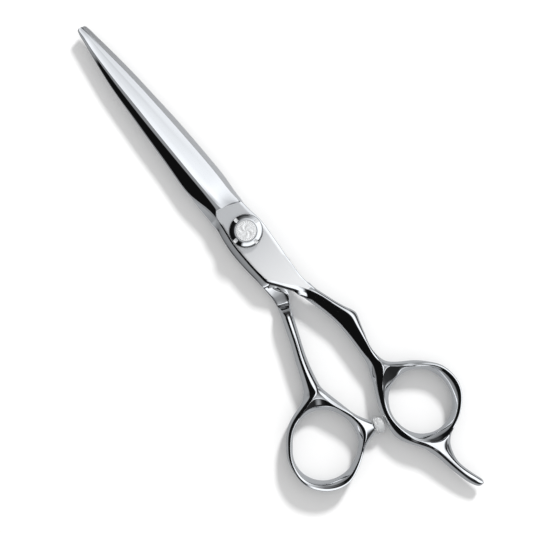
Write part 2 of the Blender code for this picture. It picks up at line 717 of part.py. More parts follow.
def main():
    clear_scene()
    parts = new_collection("hair_cutting_shears", False)
    cutters = new_collection("cutters", True)
    steel = material("polished_steel", (0.74, 0.75, 0.77), 0.12, 1.0)
    satin = material("satin_steel", (0.68, 0.69, 0.71), 0.3, 1.0)
    ptfe = material("white_ptfe", (0.9, 0.9, 0.88), 0.5, 0.0)
    bronze = material("bronze", (0.55, 0.38, 0.2), 0.35, 1.0)
    clear = material("clear_polymer", (0.86, 0.87, 0.88), 0.15, 0.0)

    finger = finger_half(parts, steel)
    thumb = thumb_half(parts, steel)
    cut_pivot(finger, thumb, cutters)
    pivot_bolt(parts, satin)
    neck_bore = BOLT_NECK_RADIUS + CLEARANCE
    stud_bore = BOLT_STUD_RADIUS + CLEARANCE
    washer("friction_washer", parts, ptfe, PTFE_RADIUS, neck_bore, PTFE_LOW, PTFE_TOP)
    pivot_bush(parts, bronze)
    washer("wave_washer", parts, satin, SPRING_RADIUS, stud_bore, SPRING_LOW, SPRING_TOP)
    washer("click_plate", parts, satin, SPRING_RADIUS, stud_bore, CLICK_PLATE_LOW, CLICK_PLATE_TOP)
    tension_dial(parts, steel, cutters)
    dial_medallion(parts, satin)
    bumper_stud(parts, satin)
    bumper_cap(parts, clear)


main()
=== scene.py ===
"""Looks for the hair cutting shears: smooth forged halves, dial, medallion, bumper and studio.

Millimetres in the design values, metres in Blender. The pivot axis is Z through the origin,
the blade tips point along +Y and the dial is on top, as in the frame.
"""

import math

import bmesh
import bpy
from mathutils import Matrix, Vector


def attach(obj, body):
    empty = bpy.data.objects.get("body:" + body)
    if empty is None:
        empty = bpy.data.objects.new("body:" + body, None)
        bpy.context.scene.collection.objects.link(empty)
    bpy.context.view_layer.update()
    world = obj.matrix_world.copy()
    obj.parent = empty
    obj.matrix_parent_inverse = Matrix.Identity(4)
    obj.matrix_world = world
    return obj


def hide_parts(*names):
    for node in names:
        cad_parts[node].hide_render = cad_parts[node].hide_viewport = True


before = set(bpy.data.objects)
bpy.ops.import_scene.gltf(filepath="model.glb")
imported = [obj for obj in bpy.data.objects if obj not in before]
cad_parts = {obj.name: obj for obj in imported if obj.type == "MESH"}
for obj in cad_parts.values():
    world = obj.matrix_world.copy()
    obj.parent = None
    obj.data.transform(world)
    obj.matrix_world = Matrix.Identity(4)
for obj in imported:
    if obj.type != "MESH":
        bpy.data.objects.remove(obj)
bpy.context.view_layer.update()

MM = 0.001

# Heights of the two layers at the pivot, as in the frame.
THUMB_LOW = 0.5
THUMB_INNER = 3.2
FINGER_INNER = 3.5
FINGER_TOP = 6.2
MIRROR_Z = THUMB_INNER + FINGER_INNER
CLEARANCE = 0.3
BOW_MIDDLE = 3.0
BOW_TOP = 6.0
BOW_LOW = 0.0

CUTTING_LAND = 0.22  # height of the land along a cutting edge
RIDE_HOLLOW = 0.12  # how far the inner face of a blade is ground hollow
SUBDIVISIONS = 3
FIT_ROUNDS = 8  # how often a cage is corrected to fit its points
CRISP_ANGLE = math.radians(28)
RELIEF_ANGLE = math.radians(60)

# Finger blade stations: y, spine x, facet border x, ridge x, edge x, side height, ridge height.
FINGER_BLADE = [
    (79.4, -1.5, -1.35, -1.25, -0.45, 3.8, 4.0),
    (78.8, -2.05, -1.75, -1.6, -0.1, 3.85, 4.15),
    (77.2, -2.4, -1.9, -1.7, 0.1, 3.85, 4.3),
    (75.0, -2.65, -2.05, -1.85, 0.3, 3.95, 4.45),
    (70.0, -3.4, -2.6, -2.25, 0.7, 4.15, 4.65),
    (60.0, -4.65, -3.15, -2.45, 1.75, 4.35, 4.95),
    (50.0, -5.25, -3.35, -2.4, 2.5, 4.45, 5.25),
    (40.0, -5.8, -3.35, -2.4, 3.05, 4.5, 5.5),
    (30.0, -6.3, -3.2, -2.3, 3.5, 4.4, 5.8),
    (22.0, -6.8, -3.05, -2.2, 3.75, 4.5, 6.0),
    (17.0, -6.3, -2.95, -2.1, 3.75, 4.85, 6.15),
    (12.5, -5.25, -3.0, -2.0, 3.7, 5.35, 6.2),
]

# Thumb blade, seen from above: the spine is on the right and the edge on the left.
THUMB_BLADE = [
    (79.2, 0.3, 0.1, -0.1, -1.0, 3.8, 4.0),
    (78.6, 0.85, 0.4, 0.1, -1.3, 3.85, 4.15),
    (77.0, 1.2, 0.5, 0.1, -1.6, 3.9, 4.3),
    (75.0, 1.42, 0.55, 0.1, -1.9, 4.0, 4.45),
    (70.0, 2.05, 0.9, 0.25, -2.4, 4.05, 4.65),
    (60.0, 3.15, 1.5, 0.7, -3.4, 4.1, 4.95),
    (50.0, 3.9, 2.0, 1.1, -3.9, 4.2, 5.25),
    (40.0, 4.6, 2.15, 1.2, -4.4, 4.3, 5.5),
    (30.0, 5.0, 2.0, 1.1, -4.75, 4.4, 5.8),
    (22.0, 5.2, 1.6, 0.7, -6.1, 4.5, 6.0),
    (17.0, 5.2, 1.8, 0.9, -6.75, 4.6, 6.15),
    (12.5, 4.9, 2.6, 1.3, -6.75, 4.7, 6.2),
]

# Where the hollow ends at the plate: spine, facet border, ridge, edge and corner of the plate.
FINGER_HOLLOW_END = [(-4.8, 9.1), (-3.35, 10.3), (-1.6, 9.95), (4.05, 8.4), (4.55, 7.4)]
THUMB_HOLLOW_END = [(4.8, 9.7), (3.6, 10.3), (1.4, 9.9), (-6.65, 9.2), (-6.75, 8.0)]

# Plate stations: left wall, left rim, left and right edges of the flat, right wall, as (x, y),
# then the heights of the left wall and the left rim.
FINGER_PLATE = [
    ((-5.1, 5.0), (-4.75, 5.0), (-4.65, 5.0), (4.4, 4.2), (4.9, 4.2), 5.95, 6.17),
    ((-5.75, 0.0), (-5.42, 0.0), (-5.3, 0.0), (5.05, 0.0), (5.5, 0.0), 5.95, 6.16),
    ((-5.85, -5.0), (-5.42, -5.0), (-5.3, -5.0), (4.95, -5.0), (5.4, -5.0), 5.93, 6.16),
    ((-5.65, -10.5), (-5.15, -10.5), (-5.02, -10.5), (4.6, -10.5), (5.05, -10.5), 5.9, 6.16),
    ((-5.35, -14.3), (-4.8, -14.0), (-4.62, -13.9), (4.35, -14.0), (4.75, -14.0), 5.88, 6.14),
    ((-4.95, -16.3), (-4.5, -15.8), (-4.25, -15.3), (4.3, -16.4), (4.65, -16.4), 5.62, 6.03),
    ((-3.15, -18.9), (-2.7, -18.3), (-2.25, -17.8), (4.1, -18.8), (4.5, -18.8), 5.5, 6.0),
    ((-1.1, -21.8), (-0.75, -21.1), (-0.15, -20.4), (4.1, -21.2), (4.5, -21.2), 5.42, 5.92),
    ((-0.05, -23.6), (0.75, -23.2), (1.75, -22.5), (4.35, -23.3), (4.77, -23.3), 5.3, 5.83),
    ((0.95, -26.2), (2.6, -26.3), (3.5, -25.3), (4.75, -25.5), (5.25, -25.7), 5.0, 5.52),
]

# Plate of the thumb half, seen from above: left wall, shoulder, right flat, right wall.
THUMB_PLATE = [
    ((-6.75, 5.0), (-6.2, 5.0), (4.2, 5.0), (4.7, 5.0)),
    ((-7.5, 0.0), (-6.85, 0.0), (4.8, 0.0), (5.3, 0.0)),
    ((-7.65, -5.0), (-7.0, -5.0), (4.7, -5.0), (5.15, -5.0)),
    ((-7.35, -10.0), (-6.75, -10.0), (4.4, -10.0), (4.85, -10.0)),
    ((-6.95, -14.0), (-6.4, -14.0), (3.7, -13.8), (4.2, -13.8)),
    ((-6.75, -16.4), (-6.3, -16.3), (2.3, -15.9), (2.8, -16.0)),
]

# Neck between plate and shank: left and right outline, then a (share of the width, height) for
# each of the five points on top.
THUMB_NECK = [
    ((-6.72, -17.2), (2.2, -17.0),
     ((0.0, 2.55), (0.04, 2.84), (0.19, 3.02), (0.25, 3.18), (0.85, 3.2))),
    ((-6.7, -18.4), (0.9, -18.5),
     ((0.0, 2.3), (0.05, 2.62), (0.27, 2.64), (0.33, 3.16), (0.9, 3.2))),
    ((-6.65, -20.4), (-0.5, -20.9),
     ((0.0, 2.1), (0.06, 2.42), (0.48, 2.42), (0.58, 3.14), (0.9, 3.2))),
    ((-6.75, -22.1), (-1.5, -23.1),
     ((0.0, 2.1), (0.06, 2.42), (0.74, 2.42), (0.87, 3.0), (0.96, 3.0))),
    ((-6.9, -23.2), (-2.9, -24.9),
     ((0.0, 2.25), (0.06, 2.54), (0.6, 2.56), (0.85, 2.56), (0.95, 2.52))),
    ((-6.97, -23.42), (-3.07, -25.12),
     ((0.01, 2.2), (0.07, 2.44), (0.6, 2.46), (0.85, 2.46), (0.95, 2.42))),
    ((-7.2, -24.3), (-3.5, -25.9),
     ((0.05, 2.75), (0.2, 3.1), (0.6, 3.16), (0.85, 3.15), (0.95, 3.0))),
    ((-7.6, -25.7), (-4.0, -26.9),
     ((0.12, 4.3), (0.32, 4.85), (0.6, 4.9), (0.82, 4.85), (0.95, 4.3))),
    ((-8.1, -27.4), (-4.55, -28.3),
     ((0.24, 5.35), (0.46, 5.9), (0.62, 5.7), (0.8, 5.8), (0.93, 5.4))),
]

# Shank stations: left and right outline, shares of the width at the rim, the crest, the valley
# and the second crest, how deep the valley is, and the top and low heights.
FINGER_SHANK = [
    ((1.75, -29.0), (6.45, -29.3), (0.22, 0.77, 0.84, 0.9), 0.1, 6.2, 1.6),
    ((2.95, -33.4), (7.8, -33.3), (0.16, 0.78, 0.86, 0.92), 0.12, 6.2, 0.7),
    ((3.7, -37.0), (9.35, -37.0), (0.13, 0.76, 0.86, 0.93), 0.16, 6.2, 0.35),
    ((4.1, -40.0), (10.5, -39.8), (0.11, 0.71, 0.84, 0.94), 0.2, 6.2, 0.2),
    ((4.15, -43.0), (9.75, -42.8), (0.13, 0.73, 0.84, 0.93), 0.16, 6.15, 0.15),
    ((4.1, -47.0), (8.55, -46.9), (0.16, 0.78, 0.87, 0.93), 0.1, 6.1, 0.1),
    ((3.9, -51.0), (7.5, -51.0), (0.22, 0.82, 0.89, 0.94), 0.08, 6.05, 0.05),
    ((3.4, -54.6), (7.6, -54.6), (0.31, 0.77, 0.85, 0.92), 0.1, 6.0, 0.0),
    ((1.95, -58.0), (8.75, -57.5), (0.3, 0.67, 0.73, 0.79), 0.06, 6.0, 0.0),
]

THUMB_SHANK = [
    ((-8.9, -29.6), (-5.3, -30.0), (0.29, 0.5, 0.67, 0.78), 0.26, 6.0, 0.3),
    ((-10.8, -35.0), (-7.4, -35.3), (0.3, 0.51, 0.67, 0.78), 0.26, 6.1, 0.2),
    ((-12.9, -40.0), (-9.4, -40.5), (0.3, 0.52, 0.67, 0.78), 0.26, 6.1, 0.1),
    ((-14.9, -45.0), (-10.9, -45.8), (0.3, 0.54, 0.69, 0.8), 0.26, 6.05, 0.05),
    ((-16.7, -48.8), (-11.75, -50.0), (0.3, 0.6, 0.74, 0.84), 0.2, 6.0, 0.0),
    ((-18.3, -50.4), (-11.7, -52.4), (0.3, 0.55, 0.64, 0.78), 0.1, 6.0, 0.0),
]

# Inner slope of a bow: its share of a narrow top, its width where the top starts to be broad,
# how far it falls, and the share of it taken by the land next to the crest.
NARROW_SHARE = 0.34
BROAD_FROM = 2.8
BROAD_SLOPE = 0.95
SLOPE_FALL = 0.5
LAND_SHARE = 0.4

# Bow stations counter-clockwise: angle, then radii of the hole, the crest and the outside.
# The slope pair says how fast the inner slope widens on a broad top and how much more it falls.
FINGER_BOW_SLOPE = (1.2, 0.0)
FINGER_BOW_CENTRE = (9.0, -73.2)
FINGER_BOW = [
    (0, 9.4, 12.3, 12.9),
    (20, 9.5, 12.1, 12.75),
    (38, 9.65, 11.6, 12.3),
    (58, 9.85, 11.3, 12.5),
    (77, 10.0, 12.0, 13.4),
    (97, 10.0, 14.6, 16.0),
    (120, 9.9, 12.5, 15.5),
    (145, 9.6, 11.0, 12.9),
    (170, 9.42, 10.4, 12.3),
    (196, 9.45, 10.4, 13.1),
    (218, 9.65, 11.2, 13.3),
    (236, 9.83, 12.2, 14.4),
    (257, 10.0, 13.1, 15.0),
    (279, 10.0, 12.5, 13.1),
    (300, 9.87, 12.0, 12.5),
    (320, 9.65, 12.0, 12.6),
    (340, 9.48, 12.35, 12.95),
]
FINGER_SHANK_AT = 5
TANG_AT = 12

THUMB_BOW_SLOPE = (1.4, -0.14)
THUMB_BOW_CENTRE = (-22.15, -65.2)
THUMB_BOW = [
    (2, 10.5, 12.7, 13.6),
    (18, 10.45, 12.2, 13.1),
    (38, 10.5, 12.6, 14.4),
    (60, 10.6, 14.5, 16.0),
    (80, 10.5, 12.1, 14.1),
    (101, 10.2, 11.0, 12.6),
    (122, 9.7, 10.4, 11.85),
    (143, 9.4, 10.15, 11.35),
    (164, 9.95, 10.7, 11.8),
    (185, 10.5, 11.6, 12.4),
    (205, 10.75, 12.5, 13.4),
    (225, 10.8, 12.9, 14.0),
    (245, 10.7, 13.2, 14.2),
    (265, 10.55, 13.1, 13.8),
    (283, 10.45, 12.2, 12.85),
    (301, 10.4, 11.7, 12.35),
    (321, 10.5, 12.2, 13.0),
    (341, 10.55, 13.4, 14.5),
]
THUMB_SHANK_AT = 3
BOSS_AT = 17

# Tang (finger rest) stations, from the bow outwards, in the form of the shank stations.
TANG = [
    ((1.55, -86.6), (9.9, -86.9), (0.14, 0.27, 0.62, 0.84), 0.16, 5.75, 0.4),
    ((2.45, -89.5), (8.0, -89.0), (0.18, 0.35, 0.51, 0.72), 0.2, 5.6, 0.6),
    ((3.1, -93.0), (6.65, -93.4), (0.27, 0.52, 0.66, 0.8), 0.24, 5.3, 1.0),
    ((3.8, -96.6), (6.95, -97.0), (0.3, 0.56, 0.69, 0.83), 0.22, 5.0, 1.3),
    ((4.7, -100.2), (7.8, -100.0), (0.28, 0.56, 0.73, 0.86), 0.2, 4.7, 1.6),
    ((5.7, -102.7), (8.6, -102.4), (0.28, 0.54, 0.73, 0.85), 0.14, 4.4, 1.9),
    ((7.2, -104.5), (8.75, -104.0), (0.3, 0.52, 0.72, 0.84), 0.06, 3.9, 2.4),
]

# Bumper on the side of the thumb bow.
BUMPER_AXIS = Vector((0.94, -0.34, 0.0)).normalized()
BOSS_END = Vector((-6.9, -70.4, BOW_MIDDLE))
BOSS_END_RADIUS = 1.8
BUMPER_STUD_RADIUS = 0.9
BUMPER_STUD_REACH = 2.2
BUMPER_STUD_DEPTH = 2.0
BUMPER_CAP_RADIUS = 2.45
BUMPER_CAP_LENGTH = 3.2

# Pivot pieces.
BOLT_HEAD_RADIUS = 4.4
BOLT_HEAD_TOP = 1.2
BOLT_NECK_RADIUS = 2.7
BOLT_NECK_TOP = 3.6
BOLT_STUD_RADIUS = 1.8
BOLT_STUD_TOP = 7.6
PTFE_RADIUS = 4.1
PTFE_LOW = 2.8
BUSH_RADIUS = 3.3
BUSH_FLANGE_LOW = 5.5
SPRING_RADIUS = 4.0
DIAL_RADIUS = 5.0
DIAL_LOW = 6.5
DIAL_TOP = 8.2
DIAL_WEB_LOW = 7.25
DIAL_WEB_TOP = 7.7
DIAL_SLOTS = 4
DIAL_SLOT_WIDTH = 1.1
DIAL_SLOT_START = 0.42
DIAL_SLOT_LENGTH = 3.0
DIAL_SLOT_DEPTH = 0.62
DIAL_TURN = math.radians(5)
MEDALLION_RADIUS = 3.1
MEDALLION_LOW = 8.0
MEDALLION_TOP = 8.25
MEDALLION_RINGS = 60
MEDALLION_STEPS = 240
TURNED_STEPS = 96
MERGE = 0.00001
SNUG = 0.12  # gap of the close fits: cap on stud and medallion in dial
PAST = 1.0  # how far a cutter reaches past a face
BEADS = 28
FLUTES = 5

# Painted sheen: where along the plate the satin starts and ends turning whiter, in place of a
# gradient in its reflection, and how metallic it is there.
PAINTED_SHEEN_START = 5.0
PAINTED_SHEEN_END = -22.0
PAINTED_SHEEN_START_METALLIC = 0.85
PAINTED_SHEEN_END_METALLIC = 0.32
NOISE_LOW, NOISE_HIGH = 0.3, 0.7
BUMP_DISTANCE = 0.00002
CLEAR_BUMP_DISTANCE = 0.00003

KEY_ENERGY = 2.6
KEY_SIZE = math.radians(9)
KEY_TOWARDS = Vector((-0.897, -0.441, -0.66))
FLOOR_SIZE = 1.5
FLOOR_WHITE = 0.95

# Camera: straight above, a long lens, its up direction turned off the blades' direction.
CAMERA_AIM = (-1.9, -12.2)
CAMERA_HEIGHT = 560.0
CAMERA_TURN = math.radians(-38.68)
FRAME_WIDTH = 161.5
SENSOR_WIDTH = 36.0


# ---- materials -----------------------------------------------------------------------------

def new_material(name):
    made = bpy.data.materials.new(name)
    made.use_nodes = True
    return made, made.node_tree, made.node_tree.nodes["Principled BSDF"]


def noise_height(tree, shader, stretch, scale, strength, distance=BUMP_DISTANCE):
    """Fine surface marks: stretched noise as a bump."""
    coordinates = tree.nodes.new("ShaderNodeTexCoord")
    mapping = tree.nodes.new("ShaderNodeMapping")
    mapping.inputs["Scale"].default_value = stretch
    noise = tree.nodes.new("ShaderNodeTexNoise")
    noise.inputs["Scale"].default_value = scale
    noise.inputs["Detail"].default_value = 3.0
    bump = tree.nodes.new("ShaderNodeBump")
    bump.inputs["Strength"].default_value = strength
    bump.inputs["Distance"].default_value = distance
    tree.links.new(coordinates.outputs["Object"], mapping.inputs["Vector"])
    tree.links.new(mapping.outputs["Vector"], noise.inputs["Vector"])
    tree.links.new(noise.outputs["Fac"], bump.inputs["Height"])
    tree.links.new(bump.outputs["Normal"], shader.inputs["Normal"])
    return noise


def spread(tree, source, low, high, target):
    """A noise value mapped to a range of a shader socket."""
    remap = tree.nodes.new("ShaderNodeMapRange")
    remap.inputs["From Min"].default_value = NOISE_LOW
    remap.inputs["From Max"].default_value = NOISE_HIGH
    remap.inputs["To Min"].default_value = low
    remap.inputs["To Max"].default_value = high
    tree.links.new(source.outputs["Fac"], remap.inputs["Value"])
    tree.links.new(remap.outputs["Result"], target)


def steel(name, colour, low, high, stretch, scale, strength):
    """Steel whose roughness wanders between two values over fine directional marks."""
    made, tree, shader = new_material(name)
    shader.inputs["Base Color"].default_value = (*colour, 1.0)
    shader.inputs["Metallic"].default_value = 1.0
    noise = noise_height(tree, shader, stretch, scale, strength)
    spread(tree, noise, low, high, shader.inputs["Roughness"])
    return made


def painted_plate_sheen(satin):
    """Painted sheen: the satin plate turns whiter from the dial towards the shank, as its metallic
    weight falls along Y.
    """
    tree = satin.node_tree
    shader = tree.nodes["Principled BSDF"]
    coordinates = tree.nodes.new("ShaderNodeTexCoord")
    split = tree.nodes.new("ShaderNodeSeparateXYZ")
    fade = tree.nodes.new("ShaderNodeMapRange")
    fade.inputs["From Min"].default_value = PAINTED_SHEEN_END * MM
    fade.inputs["From Max"].default_value = PAINTED_SHEEN_START * MM
    fade.inputs["To Min"].default_value = PAINTED_SHEEN_END_METALLIC
    fade.inputs["To Max"].default_value = PAINTED_SHEEN_START_METALLIC
    tree.links.new(coordinates.outputs["Object"], split.inputs["Vector"])
    tree.links.new(split.outputs["Y"], fade.inputs["Value"])
    tree.links.new(fade.outputs["Result"], shader.inputs["Metallic"])


def clear_polymer():
    """Clear soft plastic of the bumper, slightly uneven."""
    made, tree, shader = new_material("clear_polymer")
    shader.inputs["Base Color"].default_value = (0.95, 0.96, 0.965, 1.0)
    shader.inputs["Transmission Weight"].default_value = 0.6
    shader.inputs["IOR"].default_value = 1.25
    noise = noise_height(tree, shader, (1, 1, 1), 900.0, 0.02, CLEAR_BUMP_DISTANCE)
    spread(tree, noise, 0.12, 0.2, shader.inputs["Roughness"])
    return made


def plain(name, colour, roughness, metallic):
    """An even finish whose roughness wanders a fifth either way."""
    made, tree, shader = new_material(name)
    shader.inputs["Base Color"].default_value = (*colour, 1.0)
    shader.inputs["Metallic"].default_value = metallic
    noise = noise_height(tree, shader, (1, 1, 1), 1500.0, 0.1)
    spread(tree, noise, roughness * 0.8, roughness * 1.2, shader.inputs["Roughness"])
    return made


# ---- cages ---------------------------------------------------------------------------------

# A section runs up the left side, across the top, down the right side and back underneath.
(LEFT_LOW, LEFT_BELOW, LEFT_SIDE, LEFT_RIM, LEFT_TOP, CREST,
 RIGHT_TOP, RIGHT_RIM, RIGHT_SIDE, RIGHT_BELOW, RIGHT_LOW, LOW_MIDDLE) = range(12)
SECTION_POINTS = 12
# A bow section runs from the hole over the top to the outside and back underneath.
(HOLE_MIDDLE, HOLE_RIM, BOW_LAND, BOW_CREST, BOW_RIM, BOW_OUTSIDE,
 BOW_LOW_RIM, BOW_LOW_CREST, BOW_LOW_LAND, HOLE_LOW_RIM) = range(10)
BOW_POINTS = 10
POLISHED, SATIN = range(2)

# Lines of a section that stay crisp, and how crisp (1 is a hard edge).
BLADE_LINES = (LEFT_LOW, LEFT_RIM, LEFT_TOP, CREST, RIGHT_SIDE, RIGHT_LOW)
PLATE_LINES = (
    LEFT_LOW, LEFT_SIDE, LEFT_RIM, LEFT_TOP, RIGHT_TOP, RIGHT_RIM, RIGHT_SIDE, RIGHT_LOW,
)
HOLLOW_END_ACROSS = (CREST, RIGHT_TOP, RIGHT_RIM, RIGHT_SIDE)
TIP_ACROSS = (LEFT_LOW, LEFT_SIDE, LEFT_TOP, CREST)
TIP_CREASE = 0.6
SHANK_CREASES = {LEFT_TOP: 0.85, RIGHT_TOP: 0.6, LEFT_RIM: 0.7, RIGHT_RIM: 0.4, LOW_MIDDLE: 0.5}
BOW_CREASES = {
    BOW_CREST: 0.8, BOW_LOW_CREST: 0.8, HOLE_RIM: 0.6, HOLE_LOW_RIM: 0.6,
    BOW_RIM: 0.5, BOW_LOW_RIM: 0.5,
}
JUNCTION_CREASE = 0.7
LIP_CREASE = 0.8
CAP_FACES = ((11, 0, 1, 10), (1, 2, 9, 10), (2, 3, 8, 9), (3, 4, 7, 8), (4, 5, 6, 7))


def between(a, b, share):
    """The point at a share of the way from a to b."""
    return tuple(p + (q - p) * share for p, q in zip(a, b))


def blade_section(y, spine, border, ridge, edge, side_z, ridge_z):
    """Spine wall, black facet, flat strip, hollow, cutting land and the ground inner face."""
    inward = 0.35 if border > spine else -0.35
    inward *= min(1.0, abs(border - spine) / 1.2)
    return [
        (spine, y, FINGER_INNER),
        (spine, y, FINGER_INNER + 0.35 * (side_z - FINGER_INNER)),
        (spine, y, side_z - 0.25 * (side_z - FINGER_INNER)),
        (spine + inward, y, side_z + 0.1 * (ridge_z - side_z)),
        (border, y, ridge_z),
        (ridge, y, ridge_z),
        (ridge + 0.28 * (edge - ridge), y, FINGER_INNER + 0.6 * (ridge_z - FINGER_INNER)),
        (ridge + 0.62 * (edge - ridge), y, FINGER_INNER + 0.3 * (ridge_z - FINGER_INNER)),
        (edge, y, FINGER_INNER + CUTTING_LAND),
        (edge, y, FINGER_INNER + 0.4 * CUTTING_LAND),
        (edge, y, FINGER_INNER),
        ((spine + edge) / 2, y, FINGER_INNER + RIDE_HOLLOW),
    ]


def plate_section(left, left_rim, left_flat, right_flat, right, left_z, rim_z):
    """Flat top between two bevels, with the flat inner face below."""
    return [
        (*left, FINGER_INNER),
        (*left, FINGER_INNER + 0.6),
        (*left, left_z),
        (*left_rim, rim_z),
        (*left_flat, FINGER_TOP),
        (*between(left_flat, right_flat, 0.5), FINGER_TOP),
        (*right_flat, FINGER_TOP),
        (*between(right_flat, right, 0.7), FINGER_TOP - 0.16),
        (*right, FINGER_TOP - 0.6),
        (*right, FINGER_INNER + 0.6),
        (*right, FINGER_INNER),
        (*between(left, right, 0.5), FINGER_INNER),
    ]


def thumb_plate_section(left, shoulder, right_flat, right):
    """The thumb half's plate in the same order, upside down, with its shoulder beside the gap."""
    left_flat = between(left, shoulder, 0.9)
    left_rim = between(left, shoulder, 0.2)
    section = [
        (*right, FINGER_INNER),
        (*right, FINGER_INNER + 0.6),
        (*right, FINGER_TOP - 1.1),
        (*between(right, right_flat, 0.3), FINGER_TOP - 0.5),
        (*right_flat, FINGER_TOP),
        (*between(left_flat, right_flat, 0.5), FINGER_TOP),
        (*left_flat, FINGER_TOP),
        (*left_rim, FINGER_TOP - 0.4),
        (*left, FINGER_TOP - 1.1),
        (*left, FINGER_INNER + 0.42),
        (*between(left, shoulder, 0.35), FINGER_INNER + 0.14),
        (*between(left, right, 0.16), FINGER_INNER),
    ]
    return upside_down(section)


def neck_section(left, right, tops):
    """The scooped neck: sides under a top of five points."""
    top = [(*between(left, right, share), height) for share, height in tops]
    left_z = THUMB_LOW + 0.55 * (tops[0][1] - THUMB_LOW)
    right_z = THUMB_LOW + 0.55 * (tops[-1][1] - THUMB_LOW)
    return [
        (*between(left, right, 0.07), THUMB_LOW + 0.02),
        (*left, THUMB_LOW + 0.6),
        (*left, left_z),
        *top,
        (*right, right_z),
        (*right, THUMB_LOW + 0.6),
        (*between(left, right, 0.93), THUMB_LOW + 0.02),
        (*between(left, right, 0.5), THUMB_LOW),
    ]


def shank_section(left, right, shares, dip, top, low):
    """Steep side, facet up to the crest, shallow valley, second crest and steep side."""
    rim, crest, valley, second = shares
    middle = (top + low) / 2
    half = (top - low) / 2
    width = (Vector(left) - Vector(right)).length
    rim_drop = 0.3 * (crest - rim) * width + 0.1
    return [
        (*between(left, right, 0.14), low + 0.3 * half),
        (*between(left, right, 0.03), middle - 0.42 * half),
        (*left, middle + 0.1 * half),
        (*between(left, right, rim), top - rim_drop),
        (*between(left, right, crest), top),
        (*between(left, right, valley), top - dip),
        (*between(left, right, second), top - 0.25 * dip),
        (*between(left, right, 0.35 * second + 0.65), top - 0.25 * dip - 0.25 * half),
        (*right, middle + 0.1 * half),
        (*between(left, right, 0.97), middle - 0.42 * half),
        (*between(left, right, 0.86), low + 0.3 * half),
        (*between(left, right, 0.5), low),
    ]


def bow_section(centre, slopes, station):
    """Tapered hole wall, inner slope, crest, outer slope and outside, the same below."""
    widening, deepening = slopes
    angle, hole, crest, outside = station
    across = Vector((math.cos(math.radians(angle)), math.sin(math.radians(angle)), 0))
    width = crest - hole
    slope = NARROW_SHARE * width
    if width >= BROAD_FROM:
        slope = BROAD_SLOPE + widening * (width - BROAD_FROM)
    rim_z = SLOPE_FALL * slope + deepening * max(slope - BROAD_SLOPE, 0)
    beyond = outside - crest
    drop = (0.16 + 0.06 * beyond) * beyond
    profile = [
        (hole, BOW_MIDDLE),
        (crest - slope, BOW_TOP - rim_z),
        (crest - LAND_SHARE * slope, BOW_TOP - LAND_SHARE * rim_z),
        (crest, BOW_TOP),
        (crest + 0.6 * beyond, BOW_TOP - drop),
        (outside, BOW_MIDDLE),
        (crest + 0.6 * beyond, BOW_LOW + drop),
        (crest, BOW_LOW),
        (crest - LAND_SHARE * slope, BOW_LOW + LAND_SHARE * rim_z),
        (crest - slope, BOW_LOW + rim_z),
    ]
    return [Vector((*centre, z)) + across * radius for radius, z in profile]


def hollow_end_sections(side, points):
    """Foot and top of the wall that ends the hollow; side is 1 where the edge is on the right."""
    spine, border, ridge, edge, corner = points
    low = between(spine, edge, 0.5)
    rise = (0, 0.3)
    first = Vector(between(ridge, edge, 0.4)) + Vector(rise)
    second = Vector(between(ridge, edge, 0.72)) + Vector(rise)
    foot = [
        (*spine, FINGER_INNER),
        (*spine, FINGER_INNER + 0.5),
        (*spine, FINGER_TOP - 0.9),
        (spine[0] + 0.3 * side, spine[1] + 0.1, FINGER_TOP - 0.45),
        (*border, FINGER_TOP),
        (*ridge, FINGER_TOP),
        (*first, FINGER_INNER + 1.45),
        (*second, FINGER_INNER + 0.8),
        (*edge, FINGER_INNER + CUTTING_LAND),
        (*edge, FINGER_INNER + 0.4 * CUTTING_LAND),
        (*edge, FINGER_INNER),
        (*low, FINGER_INNER),
    ]
    turn = between(ridge, edge, 0.42)
    top = [
        (spine[0], spine[1] - 1.3, FINGER_INNER),
        (spine[0], spine[1] - 1.3, FINGER_INNER + 0.6),
        (spine[0], spine[1] - 1.3, FINGER_TOP - 0.3),
        (spine[0] + 0.28 * side, spine[1] - 1.1, FINGER_TOP - 0.08),
        (spine[0] + 0.4 * side, spine[1] - 0.9, FINGER_TOP),
        (*turn, FINGER_TOP),
        (edge[0] - 0.15 * side, edge[1] - 0.45, FINGER_TOP),
        (*between(edge, corner, 0.7), FINGER_TOP - 0.16),
        (*corner, FINGER_TOP - 0.6),
        (*corner, FINGER_INNER + 0.6),
        (*corner, FINGER_INNER),
        (low[0], low[1] - 1.0, FINGER_INNER),
    ]
    return foot, top


def upside_down(section):
    """The same section for the thumb half, mirrored in height about the gap between the halves."""
    return [(x, y, MIRROR_Z - z) for x, y, z in section]


